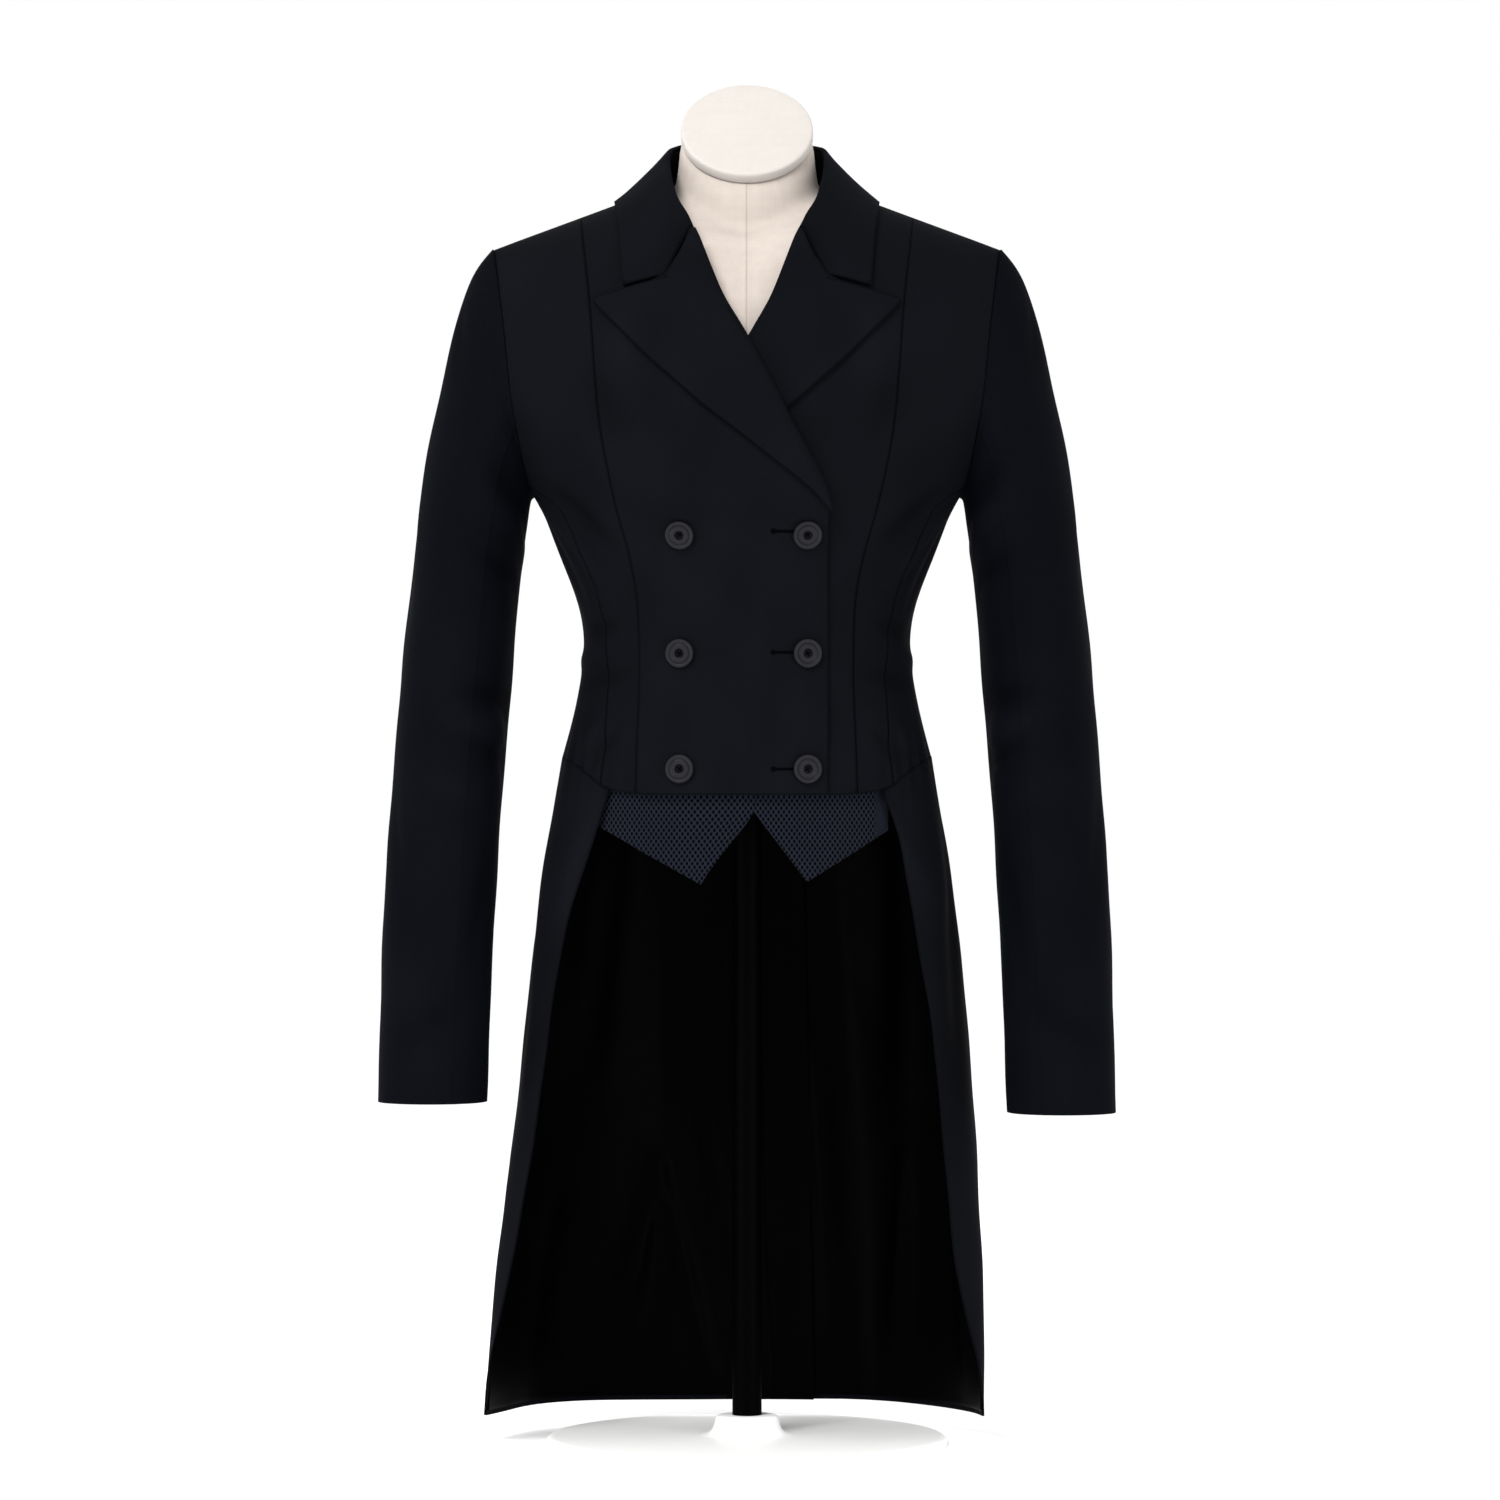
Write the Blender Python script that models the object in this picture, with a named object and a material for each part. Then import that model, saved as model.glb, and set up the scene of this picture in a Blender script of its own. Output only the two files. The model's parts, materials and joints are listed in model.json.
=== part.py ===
# Shadbelly coat on a dress form, in metres, +Z up, the coat's front facing -Y.
# The origin is the centre of the stand's underside. The wearer's right is -X.

import math

import bmesh
import bpy
import numpy as np
from mathutils import Matrix, Vector, bvhtree

# The two sides of the coat
RIGHT = -1
LEFT = 1
SIDE_NAMES = {RIGHT: "right", LEFT: "left"}

# Cloth walls and the gaps between them
CLOTH = 0.0015
LAPEL_CLOTH = 0.0020
LINING_CLOTH = 0.0010
SEAM_GAP = 0.0002
ROOT_GAP = 0.0012
WAIST_GAP = 0.0005
LAY_GAP = 0.0009
COLLAR_LAY_GAP = 0.0013

# Heights of the coat
HEM = 0.0195
CHEST = 0.780
ARMHOLE_FRONT_JOIN = 0.7175
ARMHOLE_BACK_JOIN = 0.765
NECK_POINT_X = 0.068
NECK_POINT_Z = 0.9405
SHOULDER_SLOPE = math.tan(math.radians(20.3))
ARCH = 0.120

# Shape of the level sections, and of the arch from the chest up to the shoulder
SECTION_POWER = 2.3
FRONT_ARCH_POWER = 2.0
BACK_ARCH_POWER = 2.6

# Bust
BUST_X = 0.080
BUST_Z = 0.752
BUST_SPREAD_X = 0.040
BUST_SPREAD_Z = 0.045
BUST_OUT = 0.006

# Level sections of the coat: height, half width of the wearer's right and left, depth to the front and the back
PROFILE = [
    (0.015, 0.1995, 0.1790, 0.080, 0.134),
    (0.108, 0.1920, 0.1770, 0.083, 0.132),
    (0.213, 0.1800, 0.1718, 0.086, 0.129),
    (0.333, 0.1680, 0.1635, 0.090, 0.125),
    (0.423, 0.1568, 0.1553, 0.092, 0.119),
    (0.498, 0.1425, 0.1418, 0.094, 0.108),
    (0.528, 0.1354, 0.1354, 0.094, 0.101),
    (0.558, 0.1282, 0.1282, 0.093, 0.091),
    (0.603, 0.1218, 0.1218, 0.092, 0.083),
    (0.633, 0.1279, 0.1279, 0.095, 0.087),
    (0.663, 0.1391, 0.1391, 0.100, 0.093),
    (0.693, 0.1511, 0.1511, 0.107, 0.099),
    (0.710, 0.1595, 0.1595, 0.112, 0.102),
    (0.7155, 0.1655, 0.1655, 0.1135, 0.103),
    (0.7455, 0.1815, 0.1815, 0.119, 0.107),
    (0.780, 0.1960, 0.1960, 0.121, 0.110),
]

# Armhole seen from the front: height, distance from the centre
ARMHOLE = [
    (0.710, 0.1595),
    (0.7155, 0.1630),
    (0.7455, 0.1690),
    (0.783, 0.1755),
    (0.8355, 0.1810),
    (0.8955, 0.1900),
]

# Princess seam, from the hem to the shoulder: height, distance from the centre
PRINCESS_SEAM = [
    (0.480, 0.0820),
    (0.534, 0.0800),
    (0.581, 0.0785),
    (0.6285, 0.0800),
    (0.657, 0.0840),
    (0.697, 0.0955),
    (0.723, 0.1015),
    (0.783, 0.1115),
    (0.8205, 0.1130),
    (0.920, 0.1240),
]

# Side seam, from the waist seam to the armhole: height, distance from the centre
SIDE_SEAM = [
    (0.480, 0.1100),
    (0.5205, 0.1055),
    (0.570, 0.1030),
    (0.601, 0.1045),
    (0.650, 0.1135),
    (0.6735, 0.1270),
    (0.7065, 0.1430),
    (0.7175, 0.1634),
]

# Back seam, from the waist seam to the armhole: height, angle round the section from the centre front
BACK_SEAM = [
    (0.480, 152.0),
    (0.560, 152.0),
    (0.640, 150.0),
    (0.700, 141.0),
    (0.740, 128.0),
    (0.765, 115.2),
]

# Lower edge of the body: angle round the section, height
BODY_HEM = [
    (-60.0, 0.4872),
    (25.0, 0.4872),
    (40.0, 0.4900),
    (47.0, 0.4945),
    (58.0, 0.5055),
    (70.0, 0.5120),
    (90.0, 0.5160),
    (180.0, 0.5260),
]

# Near the front, where the hem curves most, the tails hang a little further below it
WAIST_FRONT_ANGLE = 62
WAIST_FRONT_RUN = 20

# Front edge and roll line of a front: height, distance past the centre line from the armhole's side
FRONT_EDGE = [
    (0.480, -0.0598),
    (0.7060, -0.0598),
    (0.7130, -0.0585),
    (0.7210, -0.0553),
    (0.7350, -0.0480),
    (0.7535, -0.0364),
    (0.7717, -0.0280),
    (0.7900, -0.0182),
    (0.8226, 0.0000),
    (0.8500, 0.0162),
    (0.8765, 0.0300),
    (0.9025, 0.0430),
    (0.9405, 0.0680),
]

# The roll line is set back above the break, to leave room for the turn of the lapel
ROLL_BACK = 0.0030
ROLL_START = 0.7030
ROLL_RUN = 0.0140

# The outer front lies over the inner front and, above a height, over the inner lapel too. Its lift is full past
# the inner front's edge and fades out beside it.
LAP_FULL = 0.010
LAP_FADE = 0.034
LAP_RISE = 0.6906
LAP_RISE_RUN = 0.0092
LAP_EASE = 0.0015

# Rows and columns of the body panels: the shares of the low rows put one row at the break of the lapels
LOW_SHARES = [0.0, 0.126, 0.252, 0.378, 0.504, 0.630, 0.756, 0.8825, 0.924, 1.0]
LOW_ROWS = len(LOW_SHARES) - 1
BREAK_ROW = LOW_ROWS - 1
FRONT_MID_ROWS = 3
BACK_MID_ROWS = 1
ARCH_ROWS = 8
GORGE_ARCH_ROW = 4
GORGE_ROW = LOW_ROWS + FRONT_MID_ROWS + GORGE_ARCH_ROW
FRONT_COLUMNS = 9
SIDE_FRONT_COLUMNS = 4
UNDERARM_COLUMNS = 9
BACK_COLUMNS = 7

# Outer edge of a lapel, from the break up to the peak: height, distance to the side
LAPEL_EDGE = [
    (0.7005, -0.0572),
    (0.7085, -0.0525),
    (0.7180, -0.0420),
    (0.7296, -0.0270),
    (0.7480, -0.0015),
    (0.7700, 0.0290),
    (0.8205, 0.0855),
    (0.8500, 0.1135),
]
NOTCH = (0.0585, 0.8645)
PEAK = (0.1135, 0.8510)
LAPEL_COLUMNS = 7
NOTCH_SHARE = 2 / LAPEL_COLUMNS
TURN_STEPS = 3
ROWS_PER_STEP = 2
PEAK_SHARPNESS = 6

# Softness of the roll: how far each lapel's turn stands off, and where it grows
OUTER_ROLL = 0.0022
INNER_ROLL = 0.0018
INNER_ROLL_START = 0.825
INNER_ROLL_RUN = 0.050
LEAF_GAP = {RIGHT: LAY_GAP + LAP_EASE, LEFT: LAY_GAP}

# The front of the collar lies on the fronts: distance and height of the fold and of the outer edge
COLLAR_FRONT = [
    ((0.0466, 0.9048), (0.0905, 0.8605)),
    ((0.0485, 0.9150), (0.0920, 0.8760)),
]
COLLAR_NOTCH = (0.0602, 0.8676)

# The collar on the left, throat, side front, shoulder, side back, back and centre back:
# place, fold x y z, outer edge x y, neck seam x y z
COLLAR_ROUND = [
    (0.0, 0.0510, -0.0590, 0.9280, 0.0935, -0.0736, 0.0560, -0.0585, 0.9225),
    (1.0, 0.0565, -0.0300, 0.9500, 0.0965, -0.0431, 0.0655, -0.0254, 0.9375),
    (2.0, 0.0580, 0.0050, 0.9670, 0.0985, 0.0050, 0.0672, 0.0050, 0.9412),
    (3.0, 0.0520, 0.0340, 0.9765, 0.0880, 0.0500, 0.0545, 0.0335, 0.9425),
    (4.0, 0.0320, 0.0550, 0.9795, 0.0520, 0.0790, 0.0340, 0.0578, 0.9396),
    (5.0, 0.0000, 0.0650, 0.9805, 0.0000, 0.0910, 0.0000, 0.0710, 0.9400),
]
COLLAR_PLACES = [0.0, 0.5, 1.0, 1.5, 2.0, 2.5, 3.0, 3.5, 4.0, 4.33, 4.67, 5.0]
COLLAR_TURN = 0.0018
COLLAR_LEAF_COLUMNS = 5
COLLAR_HOLLOW = 0.0010
NOTCH_COLUMN = 3 / COLLAR_LEAF_COLUMNS
STAND_GAP = 0.0009
BACK_NECK_ARCH = 55.5

# Sleeve stations: outer x and z, inner x and z, half depth, forward swing
SLEEVE_STATIONS = [
    (0.2033, 0.8805, 0.1628, 0.7082, 0.0620, 0.000),
    (0.2140, 0.8520, 0.1640, 0.7065, 0.0645, 0.000),
    (0.2240, 0.8110, 0.1648, 0.7030, 0.0660, 0.001),
    (0.2336, 0.7680, 0.1656, 0.6970, 0.0665, 0.002),
    (0.2405, 0.7330, 0.1668, 0.6860, 0.0660, 0.002),
    (0.2450, 0.7000, 0.1690, 0.6700, 0.0655, 0.003),
    (0.2500, 0.6550, 0.1720, 0.6400, 0.0640, 0.003),
    (0.2560, 0.5930, 0.1765, 0.5880, 0.0615, 0.001),
    (0.2620, 0.5250, 0.1815, 0.5250, 0.0580, -0.004),
    (0.2671, 0.4550, 0.1865, 0.4550, 0.0540, -0.013),
    (0.2702, 0.3600, 0.1905, 0.3600, 0.0490, -0.029),
    (0.2726, 0.2560, 0.1943, 0.2560, 0.0440, -0.048),
]
SLEEVE_POWER = 2.15
SLEEVE_BLEND = 7
SLEEVE_FRONT_SEAM = 9
SLEEVE_BACK_SEAM = 7
CUFF_DROP = {RIGHT: 0.004, LEFT: -0.004}

# Front edge of each tail: height, distance from the centre
TAIL_FRONT_EDGE = {
    RIGHT: [
        (0.010, 0.1990), (0.060, 0.1945), (0.108, 0.1815), (0.153, 0.1725), (0.2355, 0.1583), (0.3015, 0.1485),
        (0.3615, 0.1403), (0.429, 0.1222), (0.4605, 0.1110), (0.500, 0.0995),
    ],
    LEFT: [
        (0.010, 0.1785), (0.052, 0.1765), (0.108, 0.1612), (0.142, 0.1540), (0.2265, 0.1470), (0.3038, 0.1395),
        (0.3675, 0.1285), (0.411, 0.1208), (0.4545, 0.1110), (0.500, 0.0980),
    ],
}

# The tails lap at the back: angle of each tail's back edge, and how far each lies inside the other
TAIL_BACK_ANGLE = {RIGHT: 194.0, LEFT: 182.0}
TAIL_INSET = {RIGHT: 0.0040, LEFT: 0.0000}
# How far the front corner of each hem is rounded up
TAIL_CORNER = {RIGHT: 0.026, LEFT: 0.003}
# Soft folds of each tail: depth, waves in a full turn, phase in degrees. They die out at FOLD_TOP.
TAIL_FOLDS = {RIGHT: (0.0075, 5.0, 20.0), LEFT: (0.0060, 4.0, 70.0)}
FOLD_TOP = 0.330
LAP_ANGLE = 155
LAP_ANGLE_RUN = 15
TAIL_COLUMNS = 12
TAIL_ROWS = 13
LINING_HEM = 0.004
LINING_TOP = 0.002

# Vest points: distance from the centre and height of the inner corner, the tip and the outer corner
VEST_POINTS = {
    RIGHT: {"inner": (0.0005, 0.4760), "tip": (0.0345, 0.4215), "outer": (0.1120, 0.4640)},
    LEFT: {"inner": (0.0030, 0.4760), "tip": (0.0430, 0.4235), "outer": (0.1050, 0.4610)},
}
VEST_TOP = 0.512
VEST_INSET = 0.0036
VEST_SEWN_INSET = 0.0021
VEST_SEWN_X = 0.045
VEST_SEWN_FADE = 0.030
VEST_LEVEL = 0.498
VEST_COLUMNS = (3, 5)
VEST_ROWS = 3

# Buttons: distance from the centre and height of each
BUTTON_COLUMNS = {"outer": 0.0443, "inner": -0.0492}
BUTTON_HEIGHTS = {"top": 0.6785, "middle": 0.5915, "bottom": 0.5065}
BUTTON_RADIUS = 0.0107
BUTTON_SIDES = 16
BUTTON_PROFILE = [
    (0.0000, 0.0013),
    (0.0030, 0.0014),
    (0.0040, 0.0026),
    (0.0068, 0.0025),
    (0.0094, 0.0030),
    (0.0107, 0.0018),
    (0.0098, 0.0000),
    (0.0000, 0.0000),
]

# Dress form: its bottom, the flat plates at the arms, how far it fills the arch, and the dip before the neck
FORM_BOTTOM = 0.497
FORM_ARM_PLATE = 0.168
FORM_ARCH = 0.96
FORM_NECK_DIP = 0.045
FORM_COLUMNS = 28
FORM_LOW_ROWS = 7
FORM_ARCH_ROWS = 6

# Rings of the neck: height, depth, half width, half length, tilt down to the front in degrees
NECK_RINGS = [
    (0.8800, 0.014, 0.0720, 0.0640, 0.0),
    (0.9200, 0.006, 0.0590, 0.0520, 12.0),
    (0.9500, 0.002, 0.0525, 0.0535, 28.0),
    (0.9795, 0.000, 0.0495, 0.0550, 43.7),
]
NECK_SIDES = 32

# Cap of the neck: its thickness, and its section as share of the thickness and how far the rim draws in
CAP_THICKNESS = 0.0085
CAP_SECTION = [(0.0, 0.0004), (0.15, 0.0), (0.80, 0.0), (1.0, 0.0022)]

# Stand
FLANGE_RADIUS = 0.026
FLANGE_THICKNESS = 0.004
EDGE_ROUND = 0.003
BASE_SIDES = 36
POLE_SIDES = 24
POLE_RADIUS = 0.0110
BASE_RADIUS = 0.150
BASE_THICKNESS = 0.007
HUB_RADIUS = 0.024
HUB_HEIGHT = 0.022
TOUCH_GAP = 0.0003

# Colour, roughness and metallic value of each material
MATERIALS = {
    "coat_cloth": ((0.010, 0.012, 0.018), 0.85, 0.0),
    "lining": ((0.004, 0.004, 0.005), 0.45, 0.0),
    "vest_cloth": ((0.045, 0.055, 0.095), 0.75, 0.0),
    "button_plastic": ((0.018, 0.018, 0.022), 0.45, 0.0),
    "form_linen": ((0.78, 0.71, 0.62), 0.90, 0.0),
    "stand_paint": ((0.80, 0.80, 0.79), 0.40, 0.0),
    "pole_paint": ((0.010, 0.010, 0.011), 0.50, 0.0),
}


def clear_scene():
    """Removes whatever the scene holds."""
    for thing in list(bpy.data.objects):
        bpy.data.objects.remove(thing, do_unlink=True)


def make_materials():
    """Returns a Principled material for each entry of the table."""
    made = {}
    for name, (colour, roughness, metallic) in MATERIALS.items():
        material = bpy.data.materials.new(name)
        material.use_nodes = True
        shader = material.node_tree.nodes["Principled BSDF"]
        shader.inputs["Base Color"].default_value = (*colour, 1.0)
        shader.inputs["Roughness"].default_value = roughness
        shader.inputs["Metallic"].default_value = metallic
        made[name] = material
    return made


def smooth_through(table, place, column=1):
    """Reads a column of a table at a place, on a curve that never swings past its neighbours."""
    xs = [row[0] for row in table]
    ys = [row[column] for row in table]
    if place <= xs[0]:
        return ys[0]
    if place >= xs[-1]:
        return ys[-1]
    slopes = [(ys[i + 1] - ys[i]) / (xs[i + 1] - xs[i]) for i in range(len(xs) - 1)]
    tangents = [slopes[0]]
    for before, after in zip(slopes, slopes[1:]):
        steady = before * after > 0
        tangents.append(2 * before * after / (before + after) if steady else 0.0)
    tangents.append(slopes[-1])
    i = max(k for k in range(len(xs) - 1) if xs[k] <= place)
    step = xs[i + 1] - xs[i]
    t = (place - xs[i]) / step
    return (
        ys[i] * (1 + 2 * t) * (1 - t) ** 2
        + tangents[i] * step * t * (1 - t) ** 2
        + ys[i + 1] * t * t * (3 - 2 * t)
        + tangents[i + 1] * step * t * t * (t - 1)
    )


def ease(t):
    """A soft step from 0 to 1."""
    t = min(max(t, 0.0), 1.0)
    return t * t * (3 - 2 * t)


def unit(vector):
    """A vector of length one."""
    return vector / np.linalg.norm(vector)


def signed_power(value, power):
    """A power that keeps the sign."""
    return math.copysign(abs(value) ** power, value)


def shoulder_height(x):
    """Height of the shoulder line above a distance from the centre."""
    return NECK_POINT_Z - (abs(x) - NECK_POINT_X) * SHOULDER_SLOPE


def half_width(side, height):
    """Half width of the coat's level section on one side."""
    return smooth_through(PROFILE, height, 1 if side == RIGHT else 2)


def bust_out(x, z):
    """How far the bust stands out of the section."""
    across = (abs(x) - BUST_X) / BUST_SPREAD_X
    up = (z - BUST_Z) / BUST_SPREAD_Z
    return BUST_OUT * math.exp(-0.5 * (across * across + up * up))


def body_point(side, angle, height, widest=None):
    """A point of the coat's outer surface.

    The angle runs from 0 at the centre front over 90 at the side to 180 at the centre back. Up to CHEST the height
    is the real one. From there it runs up the arch to the shoulder line, over ARCH.
    """
    turn = math.radians(angle)
    across = signed_power(math.sin(turn), 2 / SECTION_POWER)
    along = signed_power(math.cos(turn), 2 / SECTION_POWER)
    level = min(height, CHEST)
    own_side = side if across >= 0 else -side
    x = half_width(own_side, level) * across
    if widest is not None:
        x = min(max(x, -widest), widest)
    front = along > 0
    depth = smooth_through(PROFILE, level, 3 if front else 4)
    y = -depth * along
    z = level
    if height > CHEST:
        arch = math.radians(90 * (height - CHEST) / ARCH)
        power = FRONT_ARCH_POWER if front else BACK_ARCH_POWER
        z = CHEST + (shoulder_height(x) - CHEST) * signed_power(math.sin(arch), 2 / power)
        y *= signed_power(math.cos(arch), 2 / power)
    if front:
        y -= bust_out(x, z) * along
    return np.array((side * x, y, z))


def body_normal(side, angle, height):
    """Unit normal of the coat's surface, pointing out, by small steps round and up."""
    turn, rise = 0.4, 0.0004
    round_it = body_point(side, angle + turn, height) - body_point(side, angle - turn, height)
    up_it = body_point(side, angle, height + rise) - body_point(side, angle, height - rise)
    return side * unit(np.cross(round_it, up_it))


def angle_at(side, x, height):
    """Angle round the section where the front lies at a distance from the centre."""
    share = min(abs(x) / half_width(side, min(height, CHEST)), 1.0)
    return math.copysign(math.degrees(math.asin(share ** (SECTION_POWER / 2))), x)


def real_height(x, height, power):
    """Real height of a point at a distance from the centre and a height up the arch."""
    if height <= CHEST:
        return height
    arch = math.radians(90 * (height - CHEST) / ARCH)
    return CHEST + (shoulder_height(x) - CHEST) * math.sin(arch) ** (2 / power)


def seam_angle(side, table, height):
    """Angle of a seam that a table gives by its real height."""
    x = 0.05
    for _ in range(30):
        x = smooth_through(table, real_height(x, height, FRONT_ARCH_POWER))
    return angle_at(side, x, height)


def armhole_angle(side, height, front=True):
    """Angle of the armhole's edge in the front or the back of a section."""
    power = FRONT_ARCH_POWER if front else BACK_ARCH_POWER
    x = 0.17
    for _ in range(30):
        x = smooth_through(ARMHOLE, real_height(x, height, power))
    angle = angle_at(side, x, height)
    return angle if front else 180 - angle


def hem_height(angle):
    """Height of the body's lower edge."""
    return smooth_through(BODY_HEM, angle)


def rows_between(low, high, count, skip_first=True):
    """Evenly spaced values from low to high."""
    first = 1 if skip_first else 0
    return [low + (high - low) * i / count for i in range(first, count + 1)]


def neck_arch(side, angle):
    """Share of the arch that a panel reaches: all of it at the shoulder, less at the back neck."""
    if angle < 90:
        return 1.0
    x = abs(body_point(side, angle, CHEST)[0])
    low = BACK_NECK_ARCH / 90
    return min(1.0, low + (1 - low) * (x / NECK_POINT_X) ** 2)


def panel_heights(side, angle, join, mid_rows):
    """Heights of a panel's rows at an angle, from the hem over the armhole's join and the chest to the shoulder."""
    hem = hem_height(angle)
    heights = [hem + (join - hem) * share for share in LOW_SHARES]
    heights += rows_between(join, CHEST, mid_rows)
    heights += rows_between(CHEST, CHEST + ARCH * neck_arch(side, angle), ARCH_ROWS)
    return heights


def panel_grid(side, columns, join, mid_rows, near_edge, far_edge):
    """Angles and heights of a panel between two edges, each given as an angle by height."""
    row_count = LOW_ROWS + mid_rows + ARCH_ROWS
    grid = []
    for i in range(columns + 1):
        share = i / columns
        column = []
        for j in range(row_count + 1):
            angle = 90.0
            height = CHEST
            for _ in range(6):
                height = panel_heights(side, angle, join, mid_rows)[j]
                angle = near_edge(height) * (1 - share) + far_edge(height) * share
            column.append((angle, height))
        grid.append(column)
    return grid


def place(side, grid, lift):
    """Outer and inner points of a wall from a grid of angles and heights."""
    outer = np.zeros((len(grid), len(grid[0]), 3))
    inner = np.zeros_like(outer)
    for i, column in enumerate(grid):
        for j, (angle, height) in enumerate(column):
            point = body_point(side, angle, height)
            normal = body_normal(side, angle, height)
            up = lift(point)
            outer[i, j] = point + normal * up
            inner[i, j] = point + normal * (up - CLOTH)
    return outer, inner


def open_gaps(outer, inner, gaps):
    """Moves a wall's four edges in from its seams: first column, last column, first row, last row."""
    outer = outer.copy()
    inner = inner.copy()
    edges = (
        ((0, slice(None)), (1, slice(None))),
        ((-1, slice(None)), (-2, slice(None))),
        ((slice(None), 0), (slice(None), 1)),
        ((slice(None), -1), (slice(None), -2)),
    )
    for (edge, beside), gap in zip(edges, gaps):
        if gap:
            way = outer[beside] - outer[edge]
            way /= np.linalg.norm(way, axis=-1, keepdims=True)
            outer[edge] = outer[edge] + way * gap
            inner[edge] = inner[edge] + way * gap
    return outer, inner


def finish_object(name, bm, material):
    """Turns a bmesh into a named object with its material, its faces pointing out."""
    bmesh.ops.recalc_face_normals(bm, faces=bm.faces[:])
    if bm.calc_volume(signed=True) < 0:
        bmesh.ops.reverse_faces(bm, faces=bm.faces[:])
    mesh = bpy.data.meshes.new(name)
    bm.to_mesh(mesh)
    bm.free()
    mesh.materials.append(material)
    mesh.shade_smooth()
    mesh.set_sharp_from_angle(angle=math.radians(40))
    thing = bpy.data.objects.new(name, mesh)
    bpy.context.scene.collection.objects.link(thing)
    return thing


def wall(name, outer, inner, material, gaps=(SEAM_GAP, SEAM_GAP, SEAM_GAP, SEAM_GAP)):
    """A cloth wall: a flat grid, given its thickness by an extrusion, with its points placed on the two faces."""
    outer, inner = open_gaps(outer, inner, gaps)
    columns, rows = outer.shape[0] - 1, outer.shape[1] - 1
    bm = bmesh.new()
    bmesh.ops.create_grid(bm, x_segments=columns, y_segments=rows, size=0.5)
    face_side = set(bm.verts)
    bmesh.ops.extrude_face_region(bm, geom=bm.faces[:], use_keep_orig=True)
    for vert in bm.verts:
        i = round((vert.co.x + 0.5) * columns)
        j = round((vert.co.y + 0.5) * rows)
        vert.co = outer[i, j] if vert in face_side else inner[i, j]
    return finish_object(name, bm, material)


def front_lap(side):
    """Lift of the outer front where it lies over the inner front and the inner lapel."""
    def lift(point):
        x = side * point[0]
        z = point[2]
        inner_edge = -smooth_through(FRONT_EDGE, z)
        beside = (x - inner_edge - LAP_FULL) / LAP_FADE
        over_lapel = ease((z - LAP_RISE) / LAP_RISE_RUN)
        stack = CLOTH + LAY_GAP + over_lapel * (LAPEL_CLOTH + LAY_GAP + LAP_EASE)
        return stack * (1 - ease(beside))
    return lift


def no_lap(_point):
    """The inner front and every other panel lie on the surface."""
    return 0.0


FRONT_LIFT = {RIGHT: front_lap(RIGHT), LEFT: no_lap}


def front_edge_angle(side, height):
    """Angle of a front's edge or roll line, set back where the lapel's turn goes round it."""
    x = 0.0
    for _ in range(30):
        z = real_height(x, height, FRONT_ARCH_POWER)
        x = smooth_through(FRONT_EDGE, z) + ROLL_BACK * ease((z - ROLL_START) / ROLL_RUN)
    return angle_at(side, x, height)


def make_body(side, cloth):
    """The four body panels of one side. Returns the points round its armhole, and both faces' roll edge."""
    name = SIDE_NAMES[side]
    front = panel_grid(
        side, FRONT_COLUMNS, ARMHOLE_FRONT_JOIN, FRONT_MID_ROWS,
        lambda h: front_edge_angle(side, h),
        lambda h: seam_angle(side, PRINCESS_SEAM, h),
    )
    outer, inner = place(side, front, FRONT_LIFT[side])
    roll_edge = outer[0, BREAK_ROW:GORGE_ROW + 1], inner[0, BREAK_ROW:GORGE_ROW + 1]
    wall("front_" + name, outer, inner, cloth)

    def side_front_edge(height):
        if height <= ARMHOLE_FRONT_JOIN + 0.000001:
            return seam_angle(side, SIDE_SEAM, height)
        return armhole_angle(side, height)

    side_front = panel_grid(
        side, SIDE_FRONT_COLUMNS, ARMHOLE_FRONT_JOIN, FRONT_MID_ROWS,
        lambda h: seam_angle(side, PRINCESS_SEAM, h),
        side_front_edge,
    )
    outer, inner = place(side, side_front, no_lap)
    front_armhole = outer[-1, LOW_ROWS:][::-1]
    wall("side_front_" + name, outer, inner, cloth)

    def back_edge(height):
        if height <= ARMHOLE_BACK_JOIN + 0.000001:
            return smooth_through(BACK_SEAM, height)
        return armhole_angle(side, height, front=False)

    back = panel_grid(side, BACK_COLUMNS, ARMHOLE_BACK_JOIN, BACK_MID_ROWS, back_edge, lambda h: 180.0)
    outer, inner = place(side, back, no_lap)
    back_armhole = outer[0, LOW_ROWS:]
    wall("back_" + name, outer, inner, cloth)

    under = underarm_grid(side)
    outer, inner = place(side, under, no_lap)
    under_armhole = outer[:, -1]
    wall("underarm_" + name, outer, inner, cloth)
    armhole = np.concatenate([front_armhole, under_armhole[1:-1], back_armhole[:-1]])
    return armhole, roll_edge


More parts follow.
